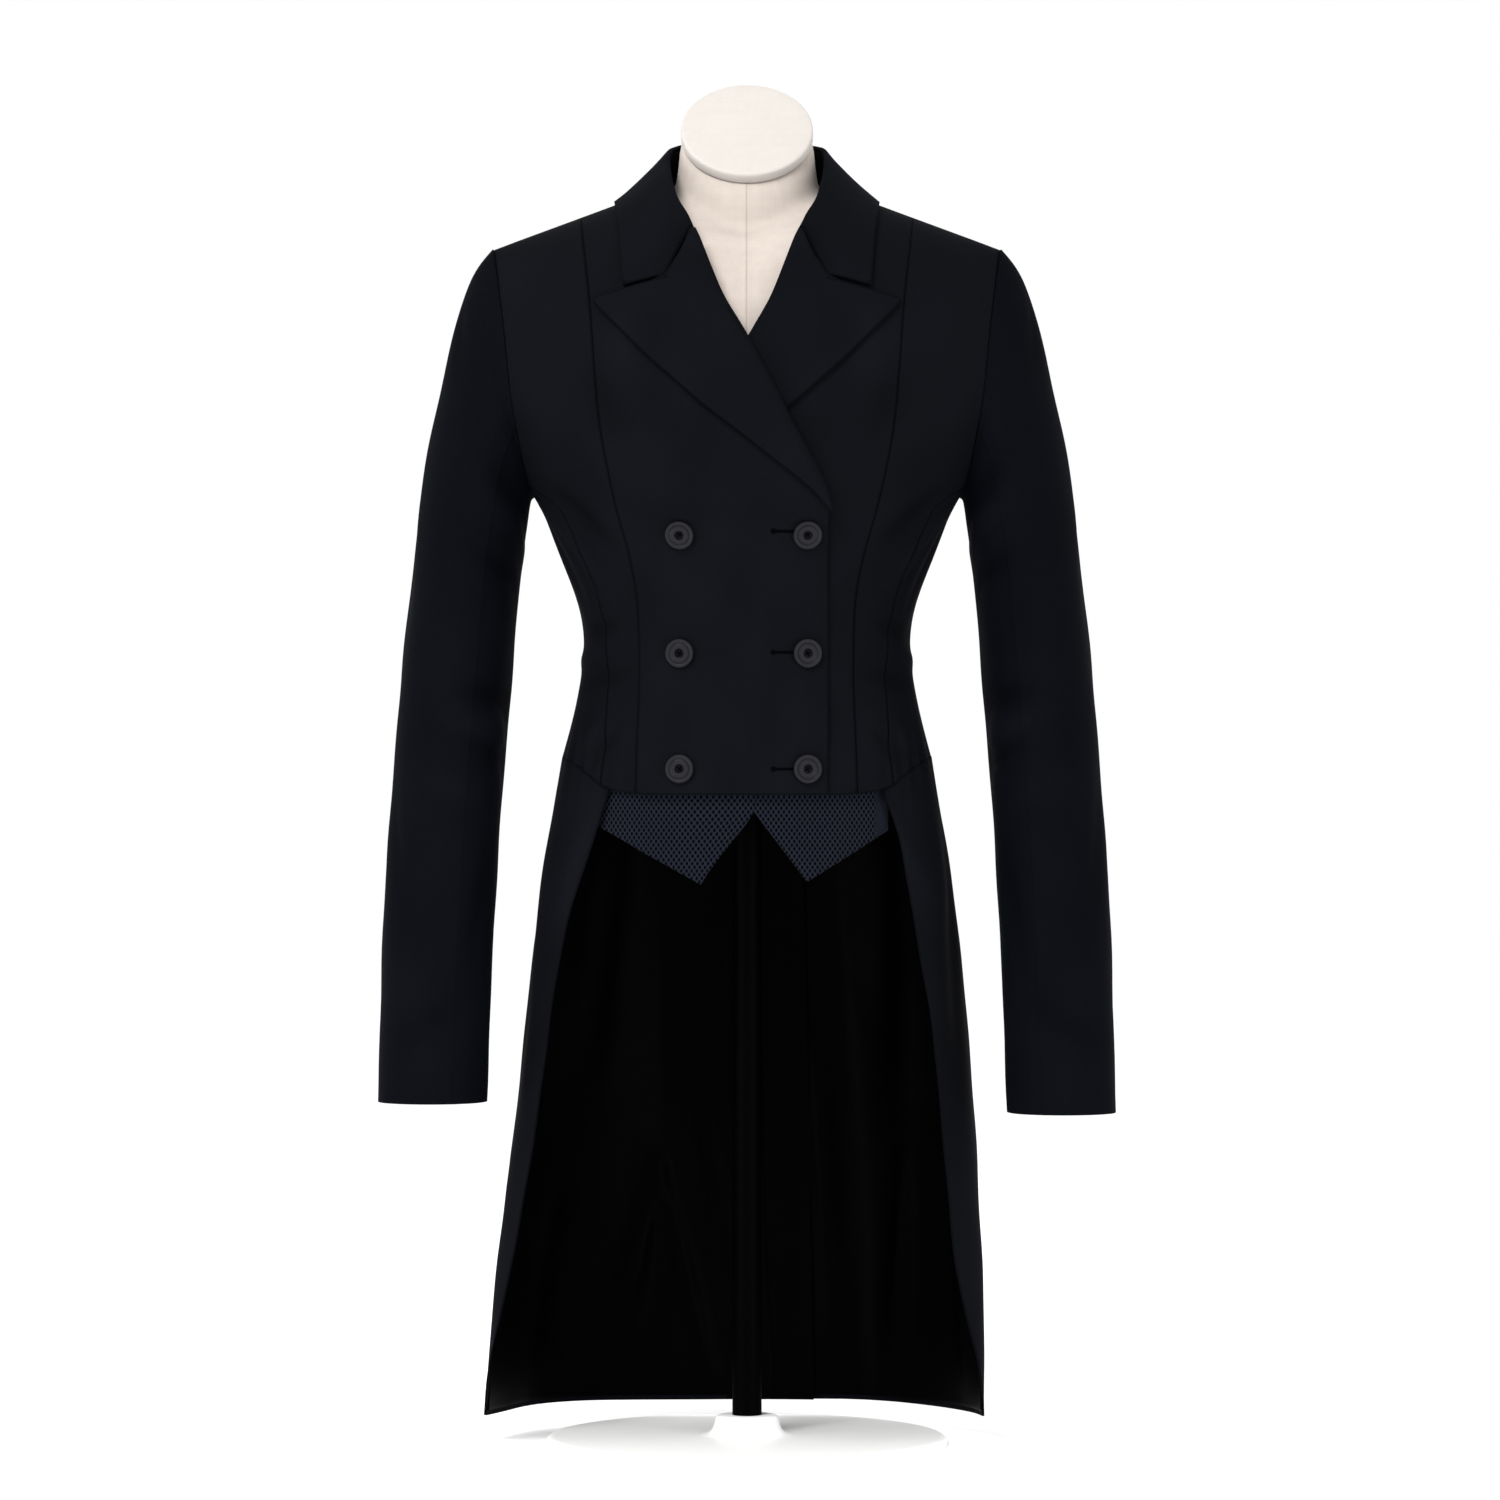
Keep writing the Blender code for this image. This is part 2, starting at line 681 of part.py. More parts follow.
def underarm_grid(side):
    """Angles and heights of the underarm panel, whose top edge is the foot of the armhole."""
    def angle_in(share, height):
        front_seam = seam_angle(side, SIDE_SEAM, min(height, ARMHOLE_FRONT_JOIN))
        return front_seam * (1 - share) + smooth_through(BACK_SEAM, height) * share

    def foot_of_armhole(share):
        if share == 0:
            return ARMHOLE_FRONT_JOIN
        if share == 1:
            return ARMHOLE_BACK_JOIN
        low, high = ARMHOLE[0][0], ARMHOLE_BACK_JOIN
        for _ in range(30):
            middle = (low + high) / 2
            angle = angle_in(share, middle)
            edge = armhole_angle(side, middle, front=angle < 90)
            inside = angle < edge if angle >= 90 else angle > edge
            if inside:
                high = middle
            else:
                low = middle
        return (low + high) / 2

    grid = []
    for i in range(UNDERARM_COLUMNS + 1):
        share = i / UNDERARM_COLUMNS
        top = foot_of_armhole(share)
        column = []
        for j in range(LOW_ROWS + 1):
            part = LOW_SHARES[j]
            height = 0.5
            angle = 90.0
            for _ in range(6):
                height = hem_height(angle) * (1 - part) + top * part
                angle = angle_in(share, height)
            column.append((angle, height))
        grid.append(column)
    return grid


def grid_normals(points):
    """Unit normals of a grid of points, from the points beside each."""
    along_u = np.gradient(points, axis=0)
    along_v = np.gradient(points, axis=1)
    normals = np.cross(along_u, along_v)
    return normals / np.linalg.norm(normals, axis=-1, keepdims=True)


def make_sleeve(side, armhole, cloth):
    """Top and under sleeve: rings fanned about the armpit, from the armhole's own points down to the cuff."""
    name = SIDE_NAMES[side]
    ring = armhole * np.array((side, 1, 1))
    top, foot = ring[0], ring[np.argmin(ring[:, 2])]
    centre = (top + foot) / 2
    reach = (top - foot) / 2
    root_depth = max(abs(ring[:, 1]))
    root_up = (ring - centre) @ reach / np.dot(reach, reach)
    root_y = ring[:, 1] / root_depth
    rings = [ring]
    count = len(SLEEVE_STATIONS)
    for k, (out_x, out_z, in_x, in_z, half_depth, swing) in enumerate(SLEEVE_STATIONS):
        drop = CUFF_DROP[side] * ease((k - SLEEVE_BLEND) / (count - 1 - SLEEVE_BLEND))
        outside = np.array((out_x, 0, out_z + drop))
        inside = np.array((in_x, 0, in_z + drop))
        middle = (outside + inside) / 2
        arm = (outside - inside) / 2
        rounded = ease((k + 1) / SLEEVE_BLEND)
        points = []
        for n in range(len(ring)):
            turn = -math.tau * n / len(ring)
            even_up = signed_power(math.cos(turn), 2 / SLEEVE_POWER)
            even_y = signed_power(math.sin(turn), 2 / SLEEVE_POWER)
            up = root_up[n] * (1 - rounded) + even_up * rounded
            y = root_y[n] * (1 - rounded) + even_y * rounded
            points.append(middle + arm * up + np.array((0, half_depth * y + swing, 0)))
        rings.append(np.array(points))
    rings = np.array(rings) * np.array((side, 1, 1))
    looped = np.concatenate([rings[:, -1:], rings, rings[:, :1]], axis=1)
    normals = side * grid_normals(looped)[:, 1:-1]
    inner = rings - normals * CLOTH
    under = list(range(SLEEVE_FRONT_SEAM, len(ring) - SLEEVE_BACK_SEAM + 1))
    over = list(range(len(ring) - SLEEVE_BACK_SEAM, len(ring))) + list(range(0, SLEEVE_FRONT_SEAM + 1))
    gaps = (ROOT_GAP, 0, SEAM_GAP, SEAM_GAP)
    wall("under_sleeve_" + name, rings[:, under], inner[:, under], cloth, gaps)
    wall("top_sleeve_" + name, rings[:, over], inner[:, over], cloth, gaps)


def surface_at(side, x, z, where="front"):
    """Point and normal of the coat's front or back at a distance from the centre and a real height."""
    height = z
    if z > CHEST:
        power = FRONT_ARCH_POWER if where == "front" else BACK_ARCH_POWER
        rise = min((z - CHEST) / (shoulder_height(x) - CHEST), 1.0)
        height = CHEST + ARCH * math.degrees(math.asin(rise ** (power / 2))) / 90
    angle = angle_at(side, x, height)
    if where == "back":
        angle = 180 - angle
    return body_point(side, angle, height), body_normal(side, angle, height)


def lapel_edge_at(v):
    """Outer edge point of a lapel at a share of its height from the break to the peak."""
    edge_z = LAPEL_EDGE[0][0] + (PEAK[1] - LAPEL_EDGE[0][0]) * v
    return np.array((smooth_through(LAPEL_EDGE, edge_z), edge_z))


def make_lapel(side, roll_edge, cloth):
    """A peak lapel: the turn round the front's roll edge, then the leaf that lies on the front."""
    name = SIDE_NAMES[side]
    lift = FRONT_LIFT[side]
    edge_out, edge_in = roll_edge
    columns = TURN_STEPS + LAPEL_COLUMNS
    rows = (len(edge_out) - 1) * ROWS_PER_STEP
    outer = np.zeros((columns + 1, rows + 1, 3))
    inner = np.zeros_like(outer)
    for j in range(rows + 1):
        v = j / rows
        step = min(j // ROWS_PER_STEP, len(edge_out) - 2)
        part = j / ROWS_PER_STEP - step
        seat = edge_out[step] * (1 - part) + edge_out[step + 1] * part
        under = edge_in[step] * (1 - part) + edge_in[step + 1] * part
        normal = unit(seat - under)
        away = -side * unit(np.cross(edge_out[step + 1] - edge_out[step], normal))
        start = np.array((side * seat[0], seat[2]))
        edge = lapel_edge_at(v)
        notch_off = np.array(NOTCH) - (start * (1 - NOTCH_SHARE) + edge * NOTCH_SHARE)
        if side == RIGHT:
            soft = OUTER_ROLL * ease(v * 5)
        else:
            soft = INNER_ROLL * ease((start[1] - INNER_ROLL_START) / INNER_ROLL_RUN)
        outer_radius = (LAY_GAP + soft + LAPEL_CLOTH + CLOTH) / 2
        inner_radius = (LAY_GAP + soft) / 2
        for i in range(columns + 1):
            if i < TURN_STEPS:
                theta = math.radians(-90 + 180 * i / TURN_STEPS)
                side_step = TOUCH_GAP + math.cos(theta) * outer_radius
                outer[i, j] = seat + away * side_step + normal * (outer_radius * (1 + math.sin(theta)) - CLOTH)
                side_step = TOUCH_GAP + math.cos(theta) * inner_radius
                inner[i, j] = seat + away * side_step + normal * (inner_radius * (1 + math.sin(theta)))
            else:
                u = (i - TURN_STEPS) / LAPEL_COLUMNS
                spot = start * (1 - u) + edge * u
                bend = u / NOTCH_SHARE if u < NOTCH_SHARE else (1 - u) / (1 - NOTCH_SHARE)
                spot = spot + notch_off * bend * v ** PEAK_SHARPNESS
                rest, up = surface_at(side, spot[0], spot[1])
                stand_off = lift(rest) + LEAF_GAP[side] + soft * (1 - ease(u))
                outer[i, j] = rest + up * (stand_off + LAPEL_CLOTH)
                inner[i, j] = rest + up * stand_off
    wall("lapel_" + name, outer, inner, cloth, gaps=(0, 0, 0, 0))


def collar_path(fold, stand, out, leaf):
    """Middle line of the fall in one section: up from the stand, round the fold and down the leaf."""
    radius = COLLAR_TURN
    centre = fold - stand * radius + out * radius
    path = []
    for degrees in (-90, -30, 30, 90):
        turn = math.radians(degrees)
        path.append(centre + out * radius * math.sin(turn) + stand * radius * math.cos(turn))
    path.extend(leaf(path[-1]))
    return path


def collar_front_section(fold_at, edge_at, notched):
    """A section of the collar's front, which lies on the wearer's left front."""
    fold, normal = surface_at(LEFT, *fold_at)
    away = unit(np.array((-1.0, 0.0, 0.6)))
    stand = unit(away - normal * np.dot(away, normal))

    def leaf(first):
        start = np.array((first[0], first[2]))
        points = []
        for k in range(1, COLLAR_LEAF_COLUMNS + 1):
            u = k / COLLAR_LEAF_COLUMNS
            spot = start * (1 - u) + np.array(edge_at) * u
            if notched:
                corner = start * (1 - NOTCH_COLUMN) + np.array(edge_at) * NOTCH_COLUMN
                bend = u / NOTCH_COLUMN if u < NOTCH_COLUMN else (1 - u) / (1 - NOTCH_COLUMN)
                spot = spot + (np.array(COLLAR_NOTCH) - corner) * bend
            rest, up = surface_at(LEFT, *spot)
            points.append(rest + up * (COLLAR_LAY_GAP + LAPEL_CLOTH / 2 + COLLAR_HOLLOW * (1 - u)))
        return points

    low = fold - normal * CLOTH / 2 + stand * 0.0010
    return collar_path(low + stand * COLLAR_TURN, stand, normal, leaf)


def surface_over(side, x, y):
    """Point and normal of the arch above a distance from the centre and a depth."""
    angle = angle_at(side, x, CHEST)
    if y > 0:
        angle = 180 - angle
    chest = body_point(side, angle, CHEST)
    power = FRONT_ARCH_POWER if y < 0 else BACK_ARCH_POWER
    share = min(y / chest[1], 1.0) ** (power / 2)
    height = CHEST + ARCH * math.degrees(math.acos(share)) / 90
    return body_point(side, angle, height), body_normal(side, angle, height)


def collar_round_section(place_at):
    """A section of the collar round the neck, on the wearer's left."""
    back_row = COLLAR_ROUND[-2]
    beyond = (6.0, -back_row[1], *back_row[2:4], -back_row[4], back_row[5], -back_row[6], *back_row[7:])
    row = [smooth_through(COLLAR_ROUND + [beyond], place_at, column) for column in range(1, 9)]
    fold, seam = np.array(row[0:3]), np.array(row[5:8])
    rest, up = surface_over(LEFT, row[3], row[4])
    foot = rest + up * (COLLAR_LAY_GAP + LAPEL_CLOTH / 2)
    stand = unit(fold - seam)
    fall = foot - fold
    out = unit(fall - stand * np.dot(fall, stand))

    def leaf(first):
        points = []
        for k in range(1, COLLAR_LEAF_COLUMNS + 1):
            u = k / COLLAR_LEAF_COLUMNS
            points.append(first * (1 - u) + foot * u - up * COLLAR_HOLLOW * math.sin(math.pi * u))
        return points

    low = seam + stand * STAND_GAP
    high = fold - stand * (COLLAR_TURN + STAND_GAP)
    return collar_path(fold, stand, out, leaf), [low * (1 - k / 2) + high * k / 2 for k in range(3)]


def mirrored(points):
    """The same points on the wearer's other side."""
    return [point * np.array((-1, 1, 1)) for point in points]


def make_collar(cloth):
    """Collar fall, from gorge to gorge round the neck, and the stand inside it."""
    fall = [collar_front_section(COLLAR_FRONT[0][0], COLLAR_FRONT[0][1], True)]
    fall.append(collar_front_section(COLLAR_FRONT[1][0], COLLAR_FRONT[1][1], False))
    stand_walls = []
    for place_at in COLLAR_PLACES:
        path, stand_wall = collar_round_section(place_at)
        fall.append(path)
        stand_walls.append(stand_wall)
    fall = mirrored_row(fall)
    stand_walls = mirrored_row(stand_walls)
    for name, points, deep in (("collar_fall", fall, LAPEL_CLOTH), ("collar_stand", stand_walls, CLOTH)):
        middle = np.array(points)
        normals = grid_normals(middle)
        wall(name, middle + normals * deep / 2, middle - normals * deep / 2, cloth, gaps=(0, 0, 0, 0))


def mirrored_row(sections):
    """Sections of the left, from the front to the centre back, and on round the right."""
    return sections + [mirrored(row) for row in sections[:-1]][::-1]


def make_tail(side, cloth, lining):
    """A tail and its lining, from the waist seam down to the hem."""
    name = SIDE_NAMES[side]
    inset = TAIL_INSET[side]
    back_angle = TAIL_BACK_ANGLE[side]
    columns, rows = TAIL_COLUMNS, TAIL_ROWS
    fold_out, fold_count, fold_phase = TAIL_FOLDS[side]

    def tail_angle(share, height):
        start = angle_at(side, smooth_through(TAIL_FRONT_EDGE[side], height), height)
        return start * (1 - share) + back_angle * share

    def offset_at(share, height, angle):
        low = ease((FOLD_TOP - height) / FOLD_TOP)
        wave = math.cos(math.radians(fold_count * angle + fold_phase))
        lapped = ease((angle - LAP_ANGLE) / LAP_ANGLE_RUN)
        flat = ease(share * 3) * (1 - lapped)
        lap = lapped * inset
        return fold_out * low * wave * flat - lap

    outer = np.zeros((columns + 1, rows + 1, 3))
    normals = np.zeros_like(outer)
    corner = TAIL_CORNER[side]
    for i in range(columns + 1):
        share = i / columns
        for j in range(rows + 1):
            part = j / rows
            height = 0.5
            angle = 60.0
            for _ in range(6):
                near_front = 1 - ease((angle - WAIST_FRONT_ANGLE) / WAIST_FRONT_RUN)
                top = hem_height(min(angle, 180.0)) - WAIST_GAP * (1 + near_front)
                foot = HEM + corner * (1 - ease(share * 9)) ** 2
                height = foot * (1 - part) + top * part
                angle = tail_angle(share, height)
            normal = body_normal(side, angle, height)
            point = body_point(side, angle, height)
            outer[i, j] = point + normal * offset_at(share, height, angle)
            normals[i, j] = normal
    inner = outer - normals * CLOTH
    wall("tail_" + name, outer, inner, cloth, gaps=(0, 0, 0, SEAM_GAP))
    face = inner - normals * TOUCH_GAP
    back_face = face - normals * LINING_CLOTH
    facing = slice(1, columns)
    wall("tail_lining_" + name, face[facing], back_face[facing], lining, (0, 0, LINING_HEM, LINING_TOP))


def make_vest_point(side, cloth):
    """A pointed panel that hangs below the front hem."""
    corners = VEST_POINTS[side]
    inner_x, inner_z = corners["inner"]
    tip_x, tip_z = corners["tip"]
    outer_x, outer_z = corners["outer"]
    near, far = VEST_COLUMNS
    xs = [inner_x + (tip_x - inner_x) * k / near for k in range(near)]
    xs += [tip_x + (outer_x - tip_x) * k / far for k in range(far + 1)]
    outer = np.zeros((len(xs), VEST_ROWS + 1, 3))
    inner = np.zeros_like(outer)
    for i, x in enumerate(xs):
        if x <= tip_x:
            foot = inner_z + (tip_z - inner_z) * (x - inner_x) / (tip_x - inner_x)
        else:
            foot = tip_z + (outer_z - tip_z) * (x - tip_x) / (outer_x - tip_x)
        for j in range(VEST_ROWS + 1):
            z = foot + (VEST_TOP - foot) * j / VEST_ROWS
            level = max(z, VEST_LEVEL)
            angle = angle_at(side, x, level)
            point = body_point(side, angle, level)
            normal = body_normal(side, angle, level)
            point = np.array((point[0], point[1], z))
            normal = unit(np.array((normal[0], normal[1], 0)))
            sewn = (1 - ease((x - VEST_SEWN_X) / VEST_SEWN_FADE)) * (1 if j == VEST_ROWS else 0)
            inset = VEST_INSET * (1 - sewn) + VEST_SEWN_INSET * sewn
            outer[i, j] = point - normal * inset
            inner[i, j] = point - normal * (inset + CLOTH)
    wall("vest_point_" + SIDE_NAMES[side], outer, inner, cloth, gaps=(0, 0, 0, 0))


def turned(name, profile, sides, material):
    """A turned piece: a profile of radius and height, spun round Z."""
    bm = bmesh.new()
    verts = [bm.verts.new((radius, 0, height)) for radius, height in profile]
    edges = [bm.edges.new(pair) for pair in zip(verts, verts[1:])]
    bmesh.ops.spin(
        bm, geom=verts + edges, cent=(0, 0, 0), axis=(0, 0, 1), angle=math.tau, steps=sides, use_merge=True,
    )
    bmesh.ops.remove_doubles(bm, verts=bm.verts[:], dist=0.00001)
    return finish_object(name, bm, material)


def seat_on(panel, spot, radius):
    """Placement of a round piece on a panel's front, level with the cloth under it and just clear of it."""
    tree = bvhtree.BVHTree.FromObject(panel, bpy.context.evaluated_depsgraph_get())
    back = Vector((0, 1, 0))
    hits = []
    for k in range(8):
        turn = math.tau * k / 8
        start = spot + Vector((math.cos(turn) * radius, -1, math.sin(turn) * radius))
        hits.append(tree.ray_cast(start, back)[0])
    hits.append(tree.ray_cast(spot - back, back)[0])
    middle = sum(hits[:8], Vector()) / 8
    normal = (hits[0] - hits[4]).cross(hits[6] - hits[2]).normalized()
    if normal.y > 0:
        normal.negate()
    highest = max((hit - middle).dot(normal) for hit in hits)
    turn = Vector((0, 0, 1)).rotation_difference(normal)
    place_at = middle + normal * (highest + TOUCH_GAP)
    return Matrix.Translation(place_at) @ turn.to_matrix().to_4x4()


def make_buttons(panel, plastic):
    """Two columns of three buttons, seated on the outer front."""
    for column, x in BUTTON_COLUMNS.items():
        for row, z in BUTTON_HEIGHTS.items():
            button = turned("button_" + column + "_" + row, BUTTON_PROFILE, BUTTON_SIDES, plastic)
            button.matrix_world = seat_on(panel, Vector((x, 0, z)), BUTTON_RADIUS)


def form_inset(height):
    """How far the dress form lies inside the coat's outer surface."""
    if height > CHEST:
        return 0.0045 - 0.0012 * ease((height - CHEST) / ARCH)
    if height > 0.60:
        return 0.0075 - 0.0030 * ease((height - 0.60) / 0.10)
    return 0.0110 - 0.0035 * ease((height - 0.53) / 0.07)


def ring_loft(name, rings, material, flat_top=True):
    """A closed body through rings of points. Its top is one flat face, or a strip from the front to the back."""
    bm = bmesh.new()
    loops = [[bm.verts.new(point) for point in ring] for ring in rings]
    count = len(loops[0])
    for low, high in zip(loops, loops[1:]):
        for k in range(count):
            beside = (k + 1) % count
            bm.faces.new((low[k], low[beside], high[beside], high[k]))
    bmesh.ops.contextual_create(bm, geom=loops[0])
    if flat_top:
        bmesh.ops.contextual_create(bm, geom=loops[-1])
    else:
        half, quarter = count // 2, count // 4
        top = loops[-1]
        pairs = [(top[m % count], top[(half - m) % count]) for m in range(-quarter, quarter + 1)]
        for (front, back), (next_front, next_back) in zip(pairs, pairs[1:]):
            bm.faces.new(list(dict.fromkeys((front, next_front, next_back, back))))
    return finish_object(name, bm, material)


def torso_ring(height):
    """A ring of the torso, inside the coat, with flat plates for the arms."""
    inset = form_inset(height)
    level = min(height, CHEST)
    arch = math.radians(90 * max(height - CHEST, 0) / ARCH)
    ring = []
    for k in range(FORM_COLUMNS):
        angle = 360 * k / FORM_COLUMNS
        side = LEFT if angle <= 180 else RIGHT
        own = angle if angle <= 180 else 360 - angle
        x, y, z = body_point(side, own, height, FORM_ARM_PLATE)
        depth = smooth_through(PROFILE, level, 3 if y < 0 else 4)
        x *= 1 - inset / half_width(side, level)
        dip = 0.0
        if y < 0 and abs(x) < NECK_POINT_X:
            dip = FORM_NECK_DIP * (1 - (x / NECK_POINT_X) ** 2) ** 2
        ring.append(np.array((x, y * (1 - inset / depth), z - (inset + dip) * math.sin(arch))))
    return ring


def neck_ring(centre_z, centre_y, half_wide, half_long, tilt):
    """An oval ring of the neck, tilted down to the front."""
    lean = math.radians(tilt)
    ring = []
    for k in range(NECK_SIDES):
        turn = math.tau * k / NECK_SIDES
        along = half_long * math.cos(turn)
        ring.append(np.array((
            half_wide * math.sin(turn),
            centre_y + along * math.cos(lean),
            centre_z + along * math.sin(lean),
        )))
    return ring


def make_form(linen):
    """The torso, joined with its neck, and the flat cap on the neck."""
    heights = rows_between(FORM_BOTTOM, CHEST, FORM_LOW_ROWS, skip_first=False)
    heights += rows_between(CHEST, CHEST + ARCH * FORM_ARCH, FORM_ARCH_ROWS)
    torso = ring_loft("form_torso", [torso_ring(height) for height in heights], linen, flat_top=False)
    neck = ring_loft("form_neck_guide", [neck_ring(*row) for row in NECK_RINGS], linen)
    neck.hide_render = True
    neck.display_type = "WIRE"
    join = torso.modifiers.new("neck", "BOOLEAN")
    join.operation = "UNION"
    join.object = neck
    top_z, top_y, half_wide, half_long, tilt = NECK_RINGS[-1]
    lean = math.radians(tilt)
    up = np.array((0, -math.sin(lean), math.cos(lean)))
    rings = []
    for share, shrink in CAP_SECTION:
        ring = neck_ring(top_z, top_y, half_wide - shrink, half_long - shrink, tilt)
        rings.append([point + up * (TOUCH_GAP + CAP_THICKNESS * share) for point in ring])
    ring_loft("form_cap", rings, linen)


def make_stand(pole_paint, base_paint):
    """A round base with a raised hub, and a slim pole up to the torso."""
    base_profile = [
        (0.0, HUB_HEIGHT),
        (HUB_RADIUS - EDGE_ROUND, HUB_HEIGHT),
        (HUB_RADIUS, HUB_HEIGHT - EDGE_ROUND),
        (HUB_RADIUS + EDGE_ROUND, BASE_THICKNESS + EDGE_ROUND),
        (HUB_RADIUS + 3 * EDGE_ROUND, BASE_THICKNESS),
        (BASE_RADIUS - EDGE_ROUND, BASE_THICKNESS),
        (BASE_RADIUS, BASE_THICKNESS - EDGE_ROUND),
        (BASE_RADIUS, 0.0),
        (0.0, 0.0),
    ]
    turned("stand_base", base_profile, BASE_SIDES, base_paint)
    foot, head = HUB_HEIGHT + TOUCH_GAP, FORM_BOTTOM - TOUCH_GAP
    pole_profile = [
        (0.0, head),
        (FLANGE_RADIUS, head),
        (FLANGE_RADIUS, head - FLANGE_THICKNESS),
        (POLE_RADIUS, head - FLANGE_THICKNESS - EDGE_ROUND),
        (POLE_RADIUS, foot),
        (0.0, foot),
    ]
    turned("stand_pole", pole_profile, POLE_SIDES, pole_paint)


def build():
    """The whole coat on its form."""
    clear_scene()
    materials = make_materials()
    cloth = materials["coat_cloth"]
    for side in (RIGHT, LEFT):
        armhole, roll_edge = make_body(side, cloth)
        make_sleeve(side, armhole, cloth)
        make_lapel(side, roll_edge, cloth)
        make_tail(side, cloth, materials["lining"])
        make_vest_point(side, materials["vest_cloth"])
    make_collar(cloth)
    bpy.context.view_layer.update()
    make_buttons(bpy.data.objects["front_right"], materials["button_plastic"])
    make_form(materials["form_linen"])
    make_stand(materials["pole_paint"], materials["stand_paint"])


build()
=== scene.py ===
# %% [markdown]
# This lesson dresses a shadbelly, the short-fronted tail coat of the dressage arena, that hangs on a linen
# covered dress form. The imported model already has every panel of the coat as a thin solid. The lesson turns each
# of them into cloth: it rounds the turned edges, adds the soft creases that wear and hanging leave, and gives
# each cloth its own weave.

import json
import math

import bmesh
import bpy
import numpy as np
from mathutils import Matrix, Vector, bvhtree, kdtree

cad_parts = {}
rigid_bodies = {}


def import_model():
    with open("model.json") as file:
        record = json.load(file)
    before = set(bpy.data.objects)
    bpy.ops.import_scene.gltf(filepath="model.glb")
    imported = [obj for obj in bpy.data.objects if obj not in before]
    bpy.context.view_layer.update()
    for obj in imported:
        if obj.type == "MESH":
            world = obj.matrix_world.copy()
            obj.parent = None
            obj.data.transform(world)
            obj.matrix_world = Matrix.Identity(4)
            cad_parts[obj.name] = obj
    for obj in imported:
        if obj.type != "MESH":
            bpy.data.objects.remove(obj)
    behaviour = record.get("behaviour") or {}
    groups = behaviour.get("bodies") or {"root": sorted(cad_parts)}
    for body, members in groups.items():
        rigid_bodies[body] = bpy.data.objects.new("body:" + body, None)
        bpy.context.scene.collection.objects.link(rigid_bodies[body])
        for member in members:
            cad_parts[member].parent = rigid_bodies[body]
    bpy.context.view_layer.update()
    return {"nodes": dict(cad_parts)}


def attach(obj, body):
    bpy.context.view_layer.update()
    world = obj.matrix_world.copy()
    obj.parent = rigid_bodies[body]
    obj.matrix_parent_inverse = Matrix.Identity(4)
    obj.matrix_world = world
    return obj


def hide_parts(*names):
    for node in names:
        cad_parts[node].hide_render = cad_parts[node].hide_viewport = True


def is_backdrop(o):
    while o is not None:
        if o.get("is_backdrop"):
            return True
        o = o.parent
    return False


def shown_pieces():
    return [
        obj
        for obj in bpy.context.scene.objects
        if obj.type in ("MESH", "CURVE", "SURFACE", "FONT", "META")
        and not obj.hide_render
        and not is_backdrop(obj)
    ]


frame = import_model()
RIGHT = -1
LEFT = 1
SIDE_NAMES = {RIGHT: "right", LEFT: "left"}
print("nodes in the frame:", len(frame["nodes"]))

# %% [markdown]
# Shader maths is easier to read as plain sums. A Signal holds one output socket, and its operators add Math
# nodes, so that a weave can be written down like any other formula. A Finish is one material, and its node
# method makes every other kind of node.

# %% Signals and finishes


class Signal:
    """One output of a node. Sums and products of signals become Math nodes."""

    def __init__(self, finish, socket):
        self.finish = finish
        self.socket = socket

    def math(self, operation, *others):
        inputs = {0: self}
        inputs.update(enumerate(others, 1))
        return self.finish.node("ShaderNodeMath", {"operation": operation}, inputs)

    def __add__(self, other):
        return self.math("ADD", other)

    def __sub__(self, other):
        return self.math("SUBTRACT", other)

    def __rsub__(self, other):
        return self.math("MULTIPLY_ADD", -1.0, other)

    def __mul__(self, other):
        return self.math("MULTIPLY", other)

    __radd__ = __add__

    def wave(self, length):
        """A sine wave of this length, from -1 to 1."""
        return (self * (math.tau / length)).math("SINE")

    def step(self, low, high):
        """A soft step from 0 at low to 1 at high."""
        inputs = {"Value": self, "From Min": low, "From Max": high}
        return self.finish.node("ShaderNodeMapRange", {"interpolation_type": "SMOOTHSTEP"}, inputs)


